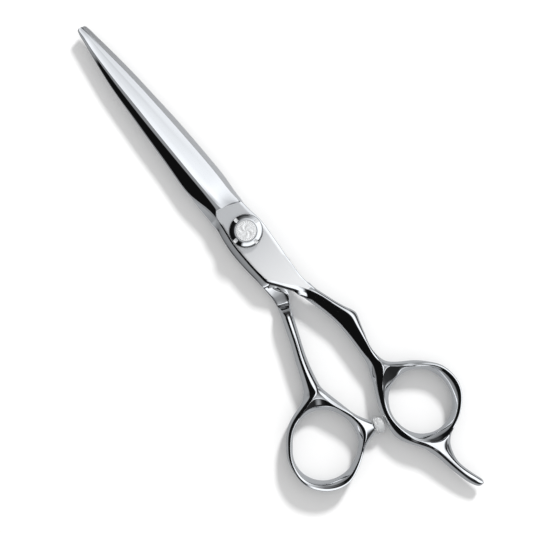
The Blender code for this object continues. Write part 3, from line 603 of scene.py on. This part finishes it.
class Cage:
    """A coarse quad cage whose points lie on the finished surface."""

    def __init__(self):
        self.bm = bmesh.new()
        self.crease = self.bm.edges.layers.float.new("crease_edge")

    def row(self, section):
        """The points of a section, given in millimetres."""
        return [self.bm.verts.new(Vector(point) * MM) for point in section]

    def bridge(self, rows, satin=()):
        """Faces along the rows; the strips that start at the satin points get that finish."""
        for first, second in zip(rows, rows[1:]):
            count = len(first)
            for i in range(count):
                j = (i + 1) % count
                face = self.bm.faces.new((first[i], first[j], second[j], second[i]))
                face.material_index = SATIN if i in satin else POLISHED

    def cap(self, row):
        """Close the end of a section."""
        for corners in CAP_FACES:
            self.bm.faces.new([row[i] for i in corners])

    def sharpen(self, a, b, amount):
        """Crease the edge between two points, if there is one."""
        edge = self.bm.edges.get((a, b))
        if edge:
            edge[self.crease] = max(edge[self.crease], amount)

    def sharpen_lines(self, rows, lines, amount):
        for first, second in zip(rows, rows[1:]):
            for line in lines:
                self.sharpen(first[line], second[line], amount)

    def sharpen_across(self, row, lines, amount):
        for first, second in zip(lines, lines[1:]):
            self.sharpen(row[first], row[second], amount)

    def bow(self, centre, slopes, stations, doors):
        """A closed loop of sections, open where a shank, tang or boss joins it."""
        rows = [self.row(bow_section(centre, slopes, station)) for station in stations]
        count = len(rows)
        open_outside = {(door - 1) % count for door in doors} | set(doors)
        for i, first in enumerate(rows):
            second = rows[(i + 1) % count]
            for a in range(BOW_POINTS):
                b = (a + 1) % BOW_POINTS
                if BOW_CREST <= a < BOW_LOW_CREST and i in open_outside:
                    continue
                self.bm.faces.new((first[a], first[b], second[b], second[a]))
            for line, amount in BOW_CREASES.items():
                self.sharpen(first[line], second[line], amount)
        for door in doors:
            for point in (BOW_RIM, BOW_OUTSIDE, BOW_LOW_RIM):
                self.bm.verts.remove(rows[door][point])
        return rows

    def doorway(self, rows, door):
        """The twelve points around an opening in the bow, in the order of a section."""
        count = len(rows)
        right, middle, left = rows[(door - 1) % count], rows[door], rows[(door + 1) % count]
        outer = (BOW_LOW_CREST, BOW_LOW_RIM, BOW_OUTSIDE, BOW_RIM, BOW_CREST)
        return (
            [left[point] for point in outer]
            + [middle[BOW_CREST]]
            + [right[point] for point in reversed(outer)]
            + [middle[BOW_LOW_CREST]]
        )

    def finish(self, name, surfaces):
        """The smoothed object, fitted to the points of its cage."""
        bmesh.ops.recalc_face_normals(self.bm, faces=self.bm.faces)
        mesh = bpy.data.meshes.new(name)
        self.bm.to_mesh(mesh)
        self.bm.free()
        obj = add_object(name, mesh, surfaces)
        smooth = obj.modifiers.new("smooth", "SUBSURF")
        smooth.levels = SUBDIVISIONS
        smooth.render_levels = SUBDIVISIONS
        pull_out(obj)
        return obj


def add_object(name, mesh, surfaces=()):
    obj = bpy.data.objects.new(name, mesh)
    bpy.context.scene.collection.objects.link(obj)
    for surface in surfaces:
        mesh.materials.append(surface)
    return obj


def pull_out(obj):
    """Move the cage until the smoothed surface passes through the points it was given.

    A cage point stays within the heights of its neighbours, so the surface never bulges past them.
    """
    aims = [vertex.co.copy() for vertex in obj.data.vertices]
    lows = [aim.z for aim in aims]
    highs = [aim.z for aim in aims]
    for edge in obj.data.edges:
        a, b = edge.vertices
        for one, other in ((a, b), (b, a)):
            lows[one] = min(lows[one], aims[other].z)
            highs[one] = max(highs[one], aims[other].z)
    for _ in range(FIT_ROUNDS):
        bpy.context.view_layer.update()
        shown = obj.evaluated_get(bpy.context.evaluated_depsgraph_get())
        smooth = shown.to_mesh()
        misses = [aim - smooth.vertices[i].co for i, aim in enumerate(aims)]
        shown.to_mesh_clear()
        for vertex, miss, low, high in zip(obj.data.vertices, misses, lows, highs):
            vertex.co += miss
            vertex.co.z = min(max(vertex.co.z, low), high)
        obj.data.update()


def blade_and_plate(cage, blade, hollow_end, plate):
    """Surface of a half from its tip to the end of its plate, with satin flats and crisp lines."""
    cage.cap(blade[0])
    cage.bridge(blade + hollow_end[:1], (LOW_MIDDLE,))
    cage.bridge(hollow_end, (LEFT_TOP, LOW_MIDDLE))
    cage.bridge(hollow_end[1:] + plate, (LEFT_TOP, CREST, LOW_MIDDLE))
    cage.sharpen_lines(blade + hollow_end, BLADE_LINES, 1.0)
    cage.sharpen_lines(hollow_end[1:] + plate, PLATE_LINES, 1.0)
    cage.sharpen_across(hollow_end[0], HOLLOW_END_ACROSS, 1.0)
    cage.sharpen_across(hollow_end[1], HOLLOW_END_ACROSS, 1.0)
    cage.sharpen_across(blade[0], TIP_ACROSS, TIP_CREASE)


def shank_lines(cage, rows):
    """Crisp lines along a shank or the tang."""
    for line, amount in SHANK_CREASES.items():
        cage.sharpen_lines(rows, (line,), amount)


def finger_half(surfaces):
    """The half on top: blade, plate, shank, finger ring and tang."""
    cage = Cage()
    blade = [cage.row(blade_section(*station)) for station in FINGER_BLADE]
    hollow_end = [cage.row(section) for section in hollow_end_sections(1, FINGER_HOLLOW_END)]
    plate = [cage.row(plate_section(*station)) for station in FINGER_PLATE]
    shank = [cage.row(shank_section(*station)) for station in FINGER_SHANK]
    blade_and_plate(cage, blade, hollow_end, plate)
    cage.bridge(plate[-1:] + shank)
    doors = [FINGER_SHANK_AT, TANG_AT]
    bow = cage.bow(FINGER_BOW_CENTRE, FINGER_BOW_SLOPE, FINGER_BOW, doors)
    shank_door = cage.doorway(bow, FINGER_SHANK_AT)
    cage.bridge([shank[-1], shank_door])
    # Seen from the bow outwards, left and right change places on the tang.
    door = cage.doorway(bow, TANG_AT)
    tang = [[*reversed(door[:-1]), door[-1]]]
    tang += [cage.row(shank_section(*station)) for station in TANG]
    cage.bridge(tang)
    cage.cap(tang[-1])
    cage.sharpen_across(plate[-1], (LEFT_RIM, LEFT_TOP), JUNCTION_CREASE)
    shank_lines(cage, plate[-1:] + shank + [shank_door])
    shank_lines(cage, tang)
    return cage.finish("finger_half_forged", surfaces)


def thumb_half(surfaces):
    """The half below: blade, plate, scooped neck, shank, thumb ring and bumper boss."""
    cage = Cage()
    blade = [cage.row(upside_down(blade_section(*station))) for station in THUMB_BLADE]
    ends = hollow_end_sections(-1, THUMB_HOLLOW_END)
    hollow_end = [cage.row(upside_down(section)) for section in ends]
    plate = [cage.row(thumb_plate_section(*station)) for station in THUMB_PLATE]
    neck = [cage.row(neck_section(*station)) for station in THUMB_NECK]
    shank = [cage.row(shank_section(*station)) for station in THUMB_SHANK]
    blade_and_plate(cage, blade, hollow_end, plate)
    # The plate is upside down and the neck isn't, so their points meet half a turn apart.
    last = plate[-1][RIGHT_TOP:] + plate[-1][:RIGHT_TOP]
    cage.bridge([last] + neck + shank)
    bow = cage.bow(THUMB_BOW_CENTRE, THUMB_BOW_SLOPE, THUMB_BOW, [THUMB_SHANK_AT, BOSS_AT])
    shank_door = cage.doorway(bow, THUMB_SHANK_AT)
    cage.bridge([shank[-1], shank_door])
    boss_end = cage.row(boss_section())
    cage.bridge([cage.doorway(bow, BOSS_AT), boss_end])
    cage.cap(boss_end)
    for i in range(SECTION_POINTS):
        cage.sharpen(boss_end[i], boss_end[(i + 1) % SECTION_POINTS], 1.0)
    cage.sharpen_lines([last, *neck[:6]], (LEFT_TOP,), JUNCTION_CREASE)
    cage.sharpen_lines(neck[:4], (CREST, RIGHT_TOP), JUNCTION_CREASE)
    for row in neck[4:7]:
        cage.sharpen_across(row, (LEFT_RIM, LEFT_TOP, CREST, RIGHT_TOP, RIGHT_RIM), LIP_CREASE)
    shank_lines(cage, neck[-1:] + shank + [shank_door])
    return cage.finish("thumb_half_forged", surfaces)


def boss_section():
    """The flat round end of the bumper boss, in the order of a section."""
    sideways = Vector((-BUMPER_AXIS.y, BUMPER_AXIS.x, 0))
    points = []
    for i in range(SECTION_POINTS):
        angle = math.radians(240 - 30 * i)
        out = -sideways * BOSS_END_RADIUS * math.cos(angle)
        points.append(BOSS_END + out + Vector((0, 0, BOSS_END_RADIUS * math.sin(angle))))
    return points


# ---- turned pieces -------------------------------------------------------------------------

def turned(name, profile, surfaces=(), steps=TURNED_STEPS):
    """A profile of (radius, z), listed from its top down the outer side, spun about Z."""
    mesh = bpy.data.meshes.new(name)
    points = [(radius * MM, 0, z * MM) for radius, z in profile]
    edges = [(i, i + 1) for i in range(len(points) - 1)]
    if profile[0][0] > 0:
        edges.append((len(points) - 1, 0))
    mesh.from_pydata(points, edges, [])
    obj = add_object(name, mesh, surfaces)
    spin = obj.modifiers.new("spin", "SCREW")
    spin.steps = steps
    spin.render_steps = steps
    spin.use_smooth_shade = True
    spin.use_merge_vertices = True
    spin.merge_threshold = MERGE
    return obj


def cut(obj, cutter):
    """Take the cutter's shape out of the object."""
    hole = obj.modifiers.new("cut " + cutter.name, "BOOLEAN")
    hole.operation = "DIFFERENCE"
    hole.solver = "EXACT"
    hole.object = cutter


def settle(obj, drop=()):
    """Apply the modifiers, remove the cutters and shade crisply where faces meet at an angle."""
    bpy.context.view_layer.update()
    shown = obj.evaluated_get(bpy.context.evaluated_depsgraph_get())
    mesh = bpy.data.meshes.new_from_object(shown)
    obj.modifiers.clear()
    obj.data = mesh
    for cutter in drop:
        bpy.data.objects.remove(cutter, do_unlink=True)
    crisp(obj)


def crisp(obj, limit=CRISP_ANGLE):
    """Smooth shading, with sharp edges where faces meet at more than the limit."""
    bm = bmesh.new()
    bm.from_mesh(obj.data)
    for face in bm.faces:
        face.smooth = True
    for edge in bm.edges:
        if len(edge.link_faces) == 2 and edge.calc_face_angle(0.0) > limit:
            edge.smooth = False
    bm.to_mesh(obj.data)
    bm.free()


def place_on_boss(obj):
    """Lay a piece turned about Z along the bumper axis, its z = 0 on the end of the boss."""
    side = Vector((-BUMPER_AXIS.y, BUMPER_AXIS.x, 0))
    axes = Matrix((side, Vector((0, 0, 1)), BUMPER_AXIS)).transposed()
    obj.matrix_world = Matrix.Translation(BOSS_END * MM) @ axes.to_4x4()


def slot_cutter(name, angle, inner, length, width, low):
    """A rounded bar along a radius, for a slot or notch open at the top."""
    bm = bmesh.new()
    bmesh.ops.create_cube(bm, size=1)
    bmesh.ops.scale(bm, vec=Vector((length, width, 2.0)) * MM, verts=bm.verts)
    upright = [edge for edge in bm.edges if abs(edge.verts[0].co.z - edge.verts[1].co.z) > MM]
    corner = 0.2 * width * MM
    bmesh.ops.bevel(bm, geom=upright, offset=corner, segments=4, profile=0.5, affect="EDGES")
    bmesh.ops.translate(bm, vec=Vector((inner + length / 2, 0, low + 1.0)) * MM, verts=bm.verts)
    bmesh.ops.rotate(bm, cent=(0, 0, 0), matrix=Matrix.Rotation(angle, 3, "Z"), verts=bm.verts)
    mesh = bpy.data.meshes.new(name)
    bm.to_mesh(mesh)
    bm.free()
    return add_object(name, mesh)


def tension_dial(polished, satin):
    """Domed dial with a seat for the medallion and four slots with satin floors."""
    bore = BOLT_STUD_RADIUS + CLEARANCE
    seat = MEDALLION_RADIUS + SNUG
    dial = turned("tension_dial_detailed", [
        (seat, DIAL_TOP - 0.12),
        (seat + 0.1, DIAL_TOP - 0.02),
        (seat + 0.22, DIAL_TOP),
        (DIAL_RADIUS - 0.16, DIAL_TOP - 0.46),
        (DIAL_RADIUS - 0.05, DIAL_TOP - 0.54),
        (DIAL_RADIUS, DIAL_TOP - 0.68),
        (DIAL_RADIUS, DIAL_LOW + 0.12),
        (DIAL_RADIUS - 0.12, DIAL_LOW),
        (SPRING_RADIUS + CLEARANCE, DIAL_LOW),
        (SPRING_RADIUS + CLEARANCE, DIAL_WEB_LOW),
        (bore, DIAL_WEB_LOW),
        (bore, DIAL_WEB_TOP),
        (seat, DIAL_WEB_TOP),
    ], [polished, satin])
    cutters = []
    for i in range(DIAL_SLOTS):
        angle = DIAL_TURN + i * math.tau / DIAL_SLOTS
        cutter = slot_cutter(
            f"dial_slot_{i}", angle, seat + DIAL_SLOT_START, DIAL_SLOT_LENGTH, DIAL_SLOT_WIDTH,
            DIAL_TOP - DIAL_SLOT_DEPTH,
        )
        cutter.data.materials.append(satin)
        cut(dial, cutter)
        cutters.append(cutter)
    settle(dial, cutters)
    return dial


def painted_shadow_ring(surface):
    """Black ring under the dial: a painted shadow of the gap between dial and plate, which shows as
    the dial's dark outline on the plate.
    """
    ring = turned("dial_painted_shadow_ring", [
        (DIAL_RADIUS + 0.05, DIAL_LOW + 0.02),
        (DIAL_RADIUS + 0.12, DIAL_LOW - 0.05),
        (DIAL_RADIUS + 0.12, FINGER_TOP + 0.08),
        (DIAL_RADIUS + 0.05, FINGER_TOP + 0.02),
        (SPRING_RADIUS + 0.5, FINGER_TOP + 0.02),
        (SPRING_RADIUS + 0.5, DIAL_LOW - 0.04),
        (DIAL_RADIUS - 0.2, DIAL_LOW - 0.04),
    ], [surface])
    settle(ring)
    return ring


def dial_medallion(surface):
    """A coin with a rosette of curved flutes, a beaded ring and a rim, all in low relief."""
    bm = bmesh.new()
    low = bm.verts.new((0, 0, MEDALLION_LOW * MM))
    rows = []
    for i in range(1, MEDALLION_RINGS + 1):
        radius = MEDALLION_RADIUS * i / MEDALLION_RINGS
        row = []
        for j in range(MEDALLION_STEPS):
            angle = math.tau * j / MEDALLION_STEPS
            height = MEDALLION_TOP + relief(radius, angle)
            point = Vector((radius * math.cos(angle), radius * math.sin(angle), height))
            row.append(bm.verts.new(point * MM))
        rows.append(row)
    foot = [bm.verts.new((v.co.x, v.co.y, MEDALLION_LOW * MM)) for v in rows[-1]]
    centre = bm.verts.new((0, 0, (MEDALLION_TOP + relief(0, 0)) * MM))
    for j in range(MEDALLION_STEPS):
        k = (j + 1) % MEDALLION_STEPS
        bm.faces.new((centre, rows[0][j], rows[0][k]))
        bm.faces.new((low, foot[k], foot[j]))
        for inner, outer in zip(rows, rows[1:]):
            bm.faces.new((inner[j], outer[j], outer[k], inner[k]))
        bm.faces.new((rows[-1][j], foot[j], foot[k], rows[-1][k]))
    mesh = bpy.data.meshes.new("dial_medallion_detailed")
    bm.to_mesh(mesh)
    bm.free()
    obj = add_object("dial_medallion_detailed", mesh, [surface])
    crisp(obj, RELIEF_ANGLE)
    return obj


def relief(radius, angle):
    """Height of the medallion's pattern: curved flutes inside, beads outside, then the rim."""
    if radius > MEDALLION_RADIUS - 0.12:
        return -0.06 * (radius - MEDALLION_RADIUS + 0.12) / 0.12 + 0.08
    if radius > MEDALLION_RADIUS - 0.3:
        return 0.08
    if radius > MEDALLION_RADIUS - 0.38:
        return -0.01
    if radius > MEDALLION_RADIUS - 0.8:
        middle = abs(radius - MEDALLION_RADIUS + 0.59) / 0.21
        return -0.01 + 0.07 * max(0.0, 1 - middle * middle) * max(0.0, math.cos(BEADS * angle)) ** 0.5
    if radius > MEDALLION_RADIUS - 0.9:
        return -0.01
    swirl = math.cos(FLUTES * angle + 2.6 * radius)
    return 0.03 + 0.035 * math.tanh(3 * swirl) * min(1.0, radius / 0.5)


def bolt_head(surface):
    """The bolt with a slotted head on the underside."""
    bolt = turned("pivot_bolt_detailed", [
        (0, BOLT_STUD_TOP),
        (BOLT_STUD_RADIUS - 0.3, BOLT_STUD_TOP),
        (BOLT_STUD_RADIUS, BOLT_STUD_TOP - 0.3),
        (BOLT_STUD_RADIUS, BOLT_NECK_TOP),
        (BOLT_NECK_RADIUS, BOLT_NECK_TOP),
        (BOLT_NECK_RADIUS, BOLT_HEAD_TOP),
        (BOLT_HEAD_RADIUS - 0.08, BOLT_HEAD_TOP),
        (BOLT_HEAD_RADIUS, BOLT_HEAD_TOP - 0.08),
        (BOLT_HEAD_RADIUS, 0.3),
        (BOLT_HEAD_RADIUS - 0.08, 0.13),
        (BOLT_HEAD_RADIUS - 0.25, 0.04),
        (BOLT_HEAD_RADIUS - 0.5, 0),
        (3.0, 0),
        (2.9, 0.12),
        (2.6, 0.12),
        (2.5, 0),
        (0, 0),
    ], [surface])
    slot = slot_cutter("bolt_slot", 0.6, -2.1, 4.2, 0.8, -1.5)
    cut(bolt, slot)
    settle(bolt, [slot])
    return bolt


def bumper_stud(surface):
    """Threaded stud: ridges along its free length, a plain end in the boss."""
    pitch = 0.45
    profile = [(0, BUMPER_STUD_REACH), (BUMPER_STUD_RADIUS - 0.25, BUMPER_STUD_REACH)]
    level = BUMPER_STUD_REACH - 0.15
    while level > 0.1:
        profile.append((BUMPER_STUD_RADIUS, level))
        profile.append((BUMPER_STUD_RADIUS - 0.22, level - pitch / 2))
        level -= pitch
    profile += [
        (BUMPER_STUD_RADIUS, 0.0),
        (BUMPER_STUD_RADIUS, -BUMPER_STUD_DEPTH),
        (0, -BUMPER_STUD_DEPTH),
    ]
    stud = turned("bumper_stud_threaded", profile, [surface], steps=48)
    settle(stud)
    place_on_boss(stud)
    return stud


def bumper_cap(surface):
    """Soft clear cap: domed end, a waist ring near its foot and a bore for the stud."""
    bore = BUMPER_STUD_RADIUS + SNUG
    length = BUMPER_CAP_LENGTH + CLEARANCE
    dome = []
    steps = 12
    for i in range(1, steps + 1):
        angle = math.radians(90 - i * 90 / steps)
        radius = BUMPER_CAP_RADIUS * math.cos(angle) ** 0.8
        dome.append((radius, length - 1.5 + 1.5 * math.sin(angle)))
    cap = turned("bumper_cap_clear", [
        (0, length),
        *dome,
        (BUMPER_CAP_RADIUS, 1.3),
        (BUMPER_CAP_RADIUS - 0.12, 1.15),
        (BUMPER_CAP_RADIUS - 0.12, 1.0),
        (BUMPER_CAP_RADIUS, 0.85),
        (BUMPER_CAP_RADIUS, CLEARANCE + 0.35),
        (BUMPER_CAP_RADIUS - 0.1, CLEARANCE + 0.1),
        (BUMPER_CAP_RADIUS - 0.35, CLEARANCE),
        (bore, CLEARANCE),
        (bore, BUMPER_STUD_REACH + SNUG),
        (0, BUMPER_STUD_REACH + SNUG),
    ], [surface], steps=64)
    settle(cap)
    place_on_boss(cap)
    return cap


def cut_pivot(finger, thumb):
    """Stepped bores for the pivot pieces and the stud."""
    thumb_bore = turned("thumb_bore", [
        (0, THUMB_INNER + PAST),
        (PTFE_RADIUS + CLEARANCE, THUMB_INNER + PAST),
        (PTFE_RADIUS + CLEARANCE, PTFE_LOW - CLEARANCE),
        (BOLT_NECK_RADIUS + CLEARANCE, PTFE_LOW - CLEARANCE),
        (BOLT_NECK_RADIUS + CLEARANCE, BOLT_HEAD_TOP + CLEARANCE),
        (BOLT_HEAD_RADIUS + CLEARANCE, BOLT_HEAD_TOP + CLEARANCE),
        (BOLT_HEAD_RADIUS + CLEARANCE, THUMB_LOW - PAST),
        (0, THUMB_LOW - PAST),
    ])
    cut(thumb, thumb_bore)
    boss_bore = turned("boss_bore", [
        (0, PAST),
        (BUMPER_STUD_RADIUS + CLEARANCE, PAST),
        (BUMPER_STUD_RADIUS + CLEARANCE, -BUMPER_STUD_DEPTH - CLEARANCE),
        (0, -BUMPER_STUD_DEPTH - CLEARANCE),
    ], steps=32)
    place_on_boss(boss_bore)
    cut(thumb, boss_bore)
    settle(thumb, [thumb_bore, boss_bore])
    finger_bore = turned("finger_bore", [
        (0, FINGER_TOP + PAST),
        (SPRING_RADIUS + CLEARANCE, FINGER_TOP + PAST),
        (SPRING_RADIUS + CLEARANCE, BUSH_FLANGE_LOW - CLEARANCE),
        (BUSH_RADIUS + CLEARANCE, BUSH_FLANGE_LOW - CLEARANCE),
        (BUSH_RADIUS + CLEARANCE, FINGER_INNER - PAST),
        (0, FINGER_INNER - PAST),
    ])
    cut(finger, finger_bore)
    settle(finger, [finger_bore])


# ---- studio --------------------------------------------------------------------------------

# What the steel reflects: for each compass direction in the frame, (degrees off the zenith,
# brightness) from overhead down to the horizon and below.
STUDIO = {
    0: ((0, 0.3), (5, 0.55), (10, 0.95), (14, 1.08),
          (35, 1.15), (66, 1.25), (80, 0.14), (95, 0.42)),
    45: ((0, 0.3), (6, 0.5), (12, 0.8), (20, 0.7),
          (28, 0.25), (40, 0.2), (46, 0.05), (95, 0.42)),
    90: ((0, 0.3), (8, 0.27), (15, 0.2), (22, 0.04),
          (28, 0.006), (66, 0.006), (80, 0.25), (95, 0.38)),
    135: ((0, 0.3), (8, 0.2), (14, 0.08), (20, 0.01),
          (50, 0.005), (68, 0.005), (80, 0.25), (95, 0.34)),
    180: ((0, 0.3), (8, 0.22), (14, 0.12), (20, 0.015),
          (24, 0.005), (66, 0.005), (80, 0.25), (95, 0.34)),
    210: ((0, 0.3), (8, 0.25), (14, 0.15), (20, 0.02),
          (25, 0.005), (66, 0.005), (80, 0.2), (95, 0.34)),
    220: ((0, 0.3), (8, 0.4), (15, 0.7), (24, 1.1),
          (44, 1.1), (52, 0.02), (76, 0.02), (90, 0.36)),
    270: ((0, 0.3), (6, 0.5), (12, 0.85), (20, 1.1),
          (42, 1.1), (48, 0.02), (76, 0.02), (90, 0.4)),
    310: ((0, 0.3), (5, 0.5), (10, 0.9), (15, 1.1),
          (45, 1.1), (52, 0.03), (74, 0.03), (88, 0.42)),
    335: ((0, 0.3), (5, 0.5), (10, 0.95), (15, 1.1),
          (50, 1.1), (60, 0.12), (76, 0.12), (90, 0.42)),
}
STUDIO_TINT = (0.965, 0.995, 1.03)
DIFFUSE_LIGHT = 0.69  # brightness that lights matt surfaces
BACKDROP = 0.9  # brightness beyond the floor


def calculation(tree, kind, operation, values):
    """A node of the kind, its first inputs set to values or joined to sockets."""
    node = tree.nodes.new(kind)
    node.operation = operation
    for socket, value in zip(node.inputs, values):
        if isinstance(value, bpy.types.NodeSocket):
            tree.links.new(value, socket)
        else:
            socket.default_value = value
    return node


def math_node(tree, operation, *values):
    return calculation(tree, "ShaderNodeMath", operation, values).outputs["Value"]


def vector_node(tree, operation, *values):
    return calculation(tree, "ShaderNodeVectorMath", operation, values)


def choice(tree, condition, otherwise, brightness):
    """The otherwise colour, or an even grey where the condition holds."""
    mix = tree.nodes.new("ShaderNodeMix")
    mix.data_type = "RGBA"
    mix.inputs["B"].default_value = (brightness, brightness, brightness, 1)
    tree.links.new(condition, mix.inputs["Factor"])
    tree.links.new(otherwise, mix.inputs["A"])
    return mix.outputs["Result"]


def blend_weight(tree, value, zero, one):
    """A straight line through 0 at one value and 1 at another."""
    return math_node(tree, "DIVIDE", math_node(tree, "SUBTRACT", value, zero), one - zero)


def studio_world():
    """Soft boxes and black cards around the shears, as brightness by direction."""
    world = bpy.data.worlds.new("studio")
    bpy.context.scene.world = world
    world.use_nodes = True
    tree = world.node_tree
    direction = tree.nodes.new("ShaderNodeTexCoord").outputs["Generated"]
    unit = vector_node(tree, "NORMALIZE", direction).outputs["Vector"]
    split = tree.nodes.new("ShaderNodeSeparateXYZ")
    tree.links.new(unit, split.inputs["Vector"])
    off_zenith = math_node(tree, "DIVIDE", math_node(tree, "ARCCOSINE", split.outputs["Z"]), math.pi)
    turn = math_node(tree, "ARCTAN2", split.outputs["Y"], split.outputs["X"])
    azimuth = math_node(tree, "MODULO", math_node(tree, "ADD", turn, math.tau), math.tau)
    total = None
    marked = [*STUDIO.items(), (360, STUDIO[0])]
    angles = [math.radians(degrees) for degrees, _ in marked]
    for k, (_, stops) in enumerate(marked):
        before = angles[k - 1] if k else -math.tau
        after = angles[k + 1] if k + 1 < len(angles) else 2 * math.tau
        rising = blend_weight(tree, azimuth, before, angles[k])
        falling = blend_weight(tree, azimuth, after, angles[k])
        weight = math_node(tree, "MAXIMUM", math_node(tree, "MINIMUM", rising, falling), 0.0)
        ramp = tree.nodes.new("ShaderNodeValToRGB")
        ramp.color_ramp.interpolation = "EASE"
        marks = ramp.color_ramp.elements
        for i, (angle, value) in enumerate(stops):
            mark = marks[i] if i < 2 else marks.new(angle / 180)
            mark.position = angle / 180
            mark.color = (value, value, value, 1)
        tree.links.new(off_zenith, ramp.inputs["Fac"])
        share = math_node(tree, "MULTIPLY", ramp.outputs["Color"], weight)
        total = share if total is None else math_node(tree, "ADD", total, share)
    tinted = vector_node(tree, "SCALE", STUDIO_TINT)
    tree.links.new(total, tinted.inputs["Scale"])
    rays = tree.nodes.new("ShaderNodeLightPath").outputs
    seen = choice(tree, rays["Is Camera Ray"], tinted.outputs["Vector"], BACKDROP)
    colour = choice(tree, rays["Is Diffuse Ray"], seen, DIFFUSE_LIGHT)
    tree.links.new(colour, tree.nodes["Background"].inputs["Color"])


def studio_light():
    """The key light, which makes the soft shadow and isn't reflected in the steel."""
    lamp = bpy.data.lights.new("key", "SUN")
    lamp.energy = KEY_ENERGY
    lamp.angle = KEY_SIZE
    key = bpy.data.objects.new("key", lamp)
    bpy.context.scene.collection.objects.link(key)
    key.visible_glossy = False
    key.rotation_mode = "QUATERNION"
    key.rotation_quaternion = KEY_TOWARDS.to_track_quat("-Z", "Y")


def floor():
    """White floor under the shears."""
    bm = bmesh.new()
    bmesh.ops.create_grid(bm, x_segments=1, y_segments=1, size=FLOOR_SIZE)
    mesh = bpy.data.meshes.new("floor")
    bm.to_mesh(mesh)
    bm.free()
    made, _, shader = new_material("floor_white")
    shader.inputs["Base Color"].default_value = (FLOOR_WHITE, FLOOR_WHITE, FLOOR_WHITE, 1)
    shader.inputs["Roughness"].default_value = 1.0
    shader.inputs["Specular IOR Level"].default_value = 0.0
    obj = add_object("floor", mesh, [made])
    obj.visible_glossy = False


def camera():
    data = bpy.data.cameras.new("camera")
    data.sensor_width = SENSOR_WIDTH
    data.lens = SENSOR_WIDTH * (CAMERA_HEIGHT - BOW_MIDDLE) / FRAME_WIDTH
    data.clip_start = 0.01
    obj = bpy.data.objects.new("camera", data)
    obj.location = Vector((*CAMERA_AIM, CAMERA_HEIGHT)) * MM
    obj.rotation_euler = (0, 0, CAMERA_TURN)
    bpy.context.scene.collection.objects.link(obj)
    bpy.context.scene.camera = obj


def main():
    polished = steel("polished_steel", (0.93, 0.935, 0.945), 0.03, 0.07, (1, 1, 1), 700.0, 0.02)
    satin = steel("satin_flat_steel", (0.92, 0.925, 0.935), 0.275, 0.295, (1, 1, 1), 1800.0, 0.001)
    # Painted sheen on the plate: lighter towards the shank.
    painted_plate_sheen(satin)
    turned_steel = steel("turned_steel", (0.75, 0.755, 0.765), 0.18, 0.3, (1, 1, 12), 400.0, 0.05)
    ptfe = plain("white_ptfe", (0.9, 0.9, 0.88), 0.5, 0.0)
    bronze = plain("bearing_bronze", (0.55, 0.38, 0.2), 0.35, 1.0)
    clear = clear_polymer()
    # Black of the painted shadow ring under the dial, not a finish of any real part.
    dark = plain("painted_shadow_black", (0.02, 0.02, 0.022), 0.4, 0.0)
    coin = steel("coin_silver", (0.95, 0.955, 0.96), 0.24, 0.3, (1, 1, 1), 500.0, 0.01)
    coin.node_tree.nodes["Principled BSDF"].inputs["Metallic"].default_value = 0.5

    finger = finger_half([polished, satin])
    thumb = thumb_half([polished, satin])
    cut_pivot(finger, thumb)
    pieces = (
        (finger, "finger", "polished_steel", "finger_half"),
        (thumb, "thumb", "polished_steel", "thumb_half"),
        (bolt_head(turned_steel), "thumb", "satin_steel", "pivot_bolt"),
        (tension_dial(polished, coin), "dial", "polished_steel", "tension_dial"),
        (painted_shadow_ring(dark), "dial", "satin_steel", None),
        (dial_medallion(coin), "dial", "satin_steel", "dial_medallion"),
        (bumper_stud(turned_steel), "thumb", "satin_steel", "bumper_stud"),
        (bumper_cap(clear), "thumb", "clear_polymer", "bumper_cap"),
    )
    for piece, body, slot, node in pieces:
        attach(piece, body)
        if node:
            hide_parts(node)

    finishes = {
        "wave_washer": turned_steel,
        "click_plate": turned_steel,
        "friction_washer": ptfe,
        "pivot_bush": bronze,
    }
    for name, surface in finishes.items():
        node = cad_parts[name]
        for slot in node.material_slots:
            slot.material = surface

    studio_world()
    studio_light()
    floor()
    camera()
    bpy.context.scene.view_settings.view_transform = "Standard"


main()
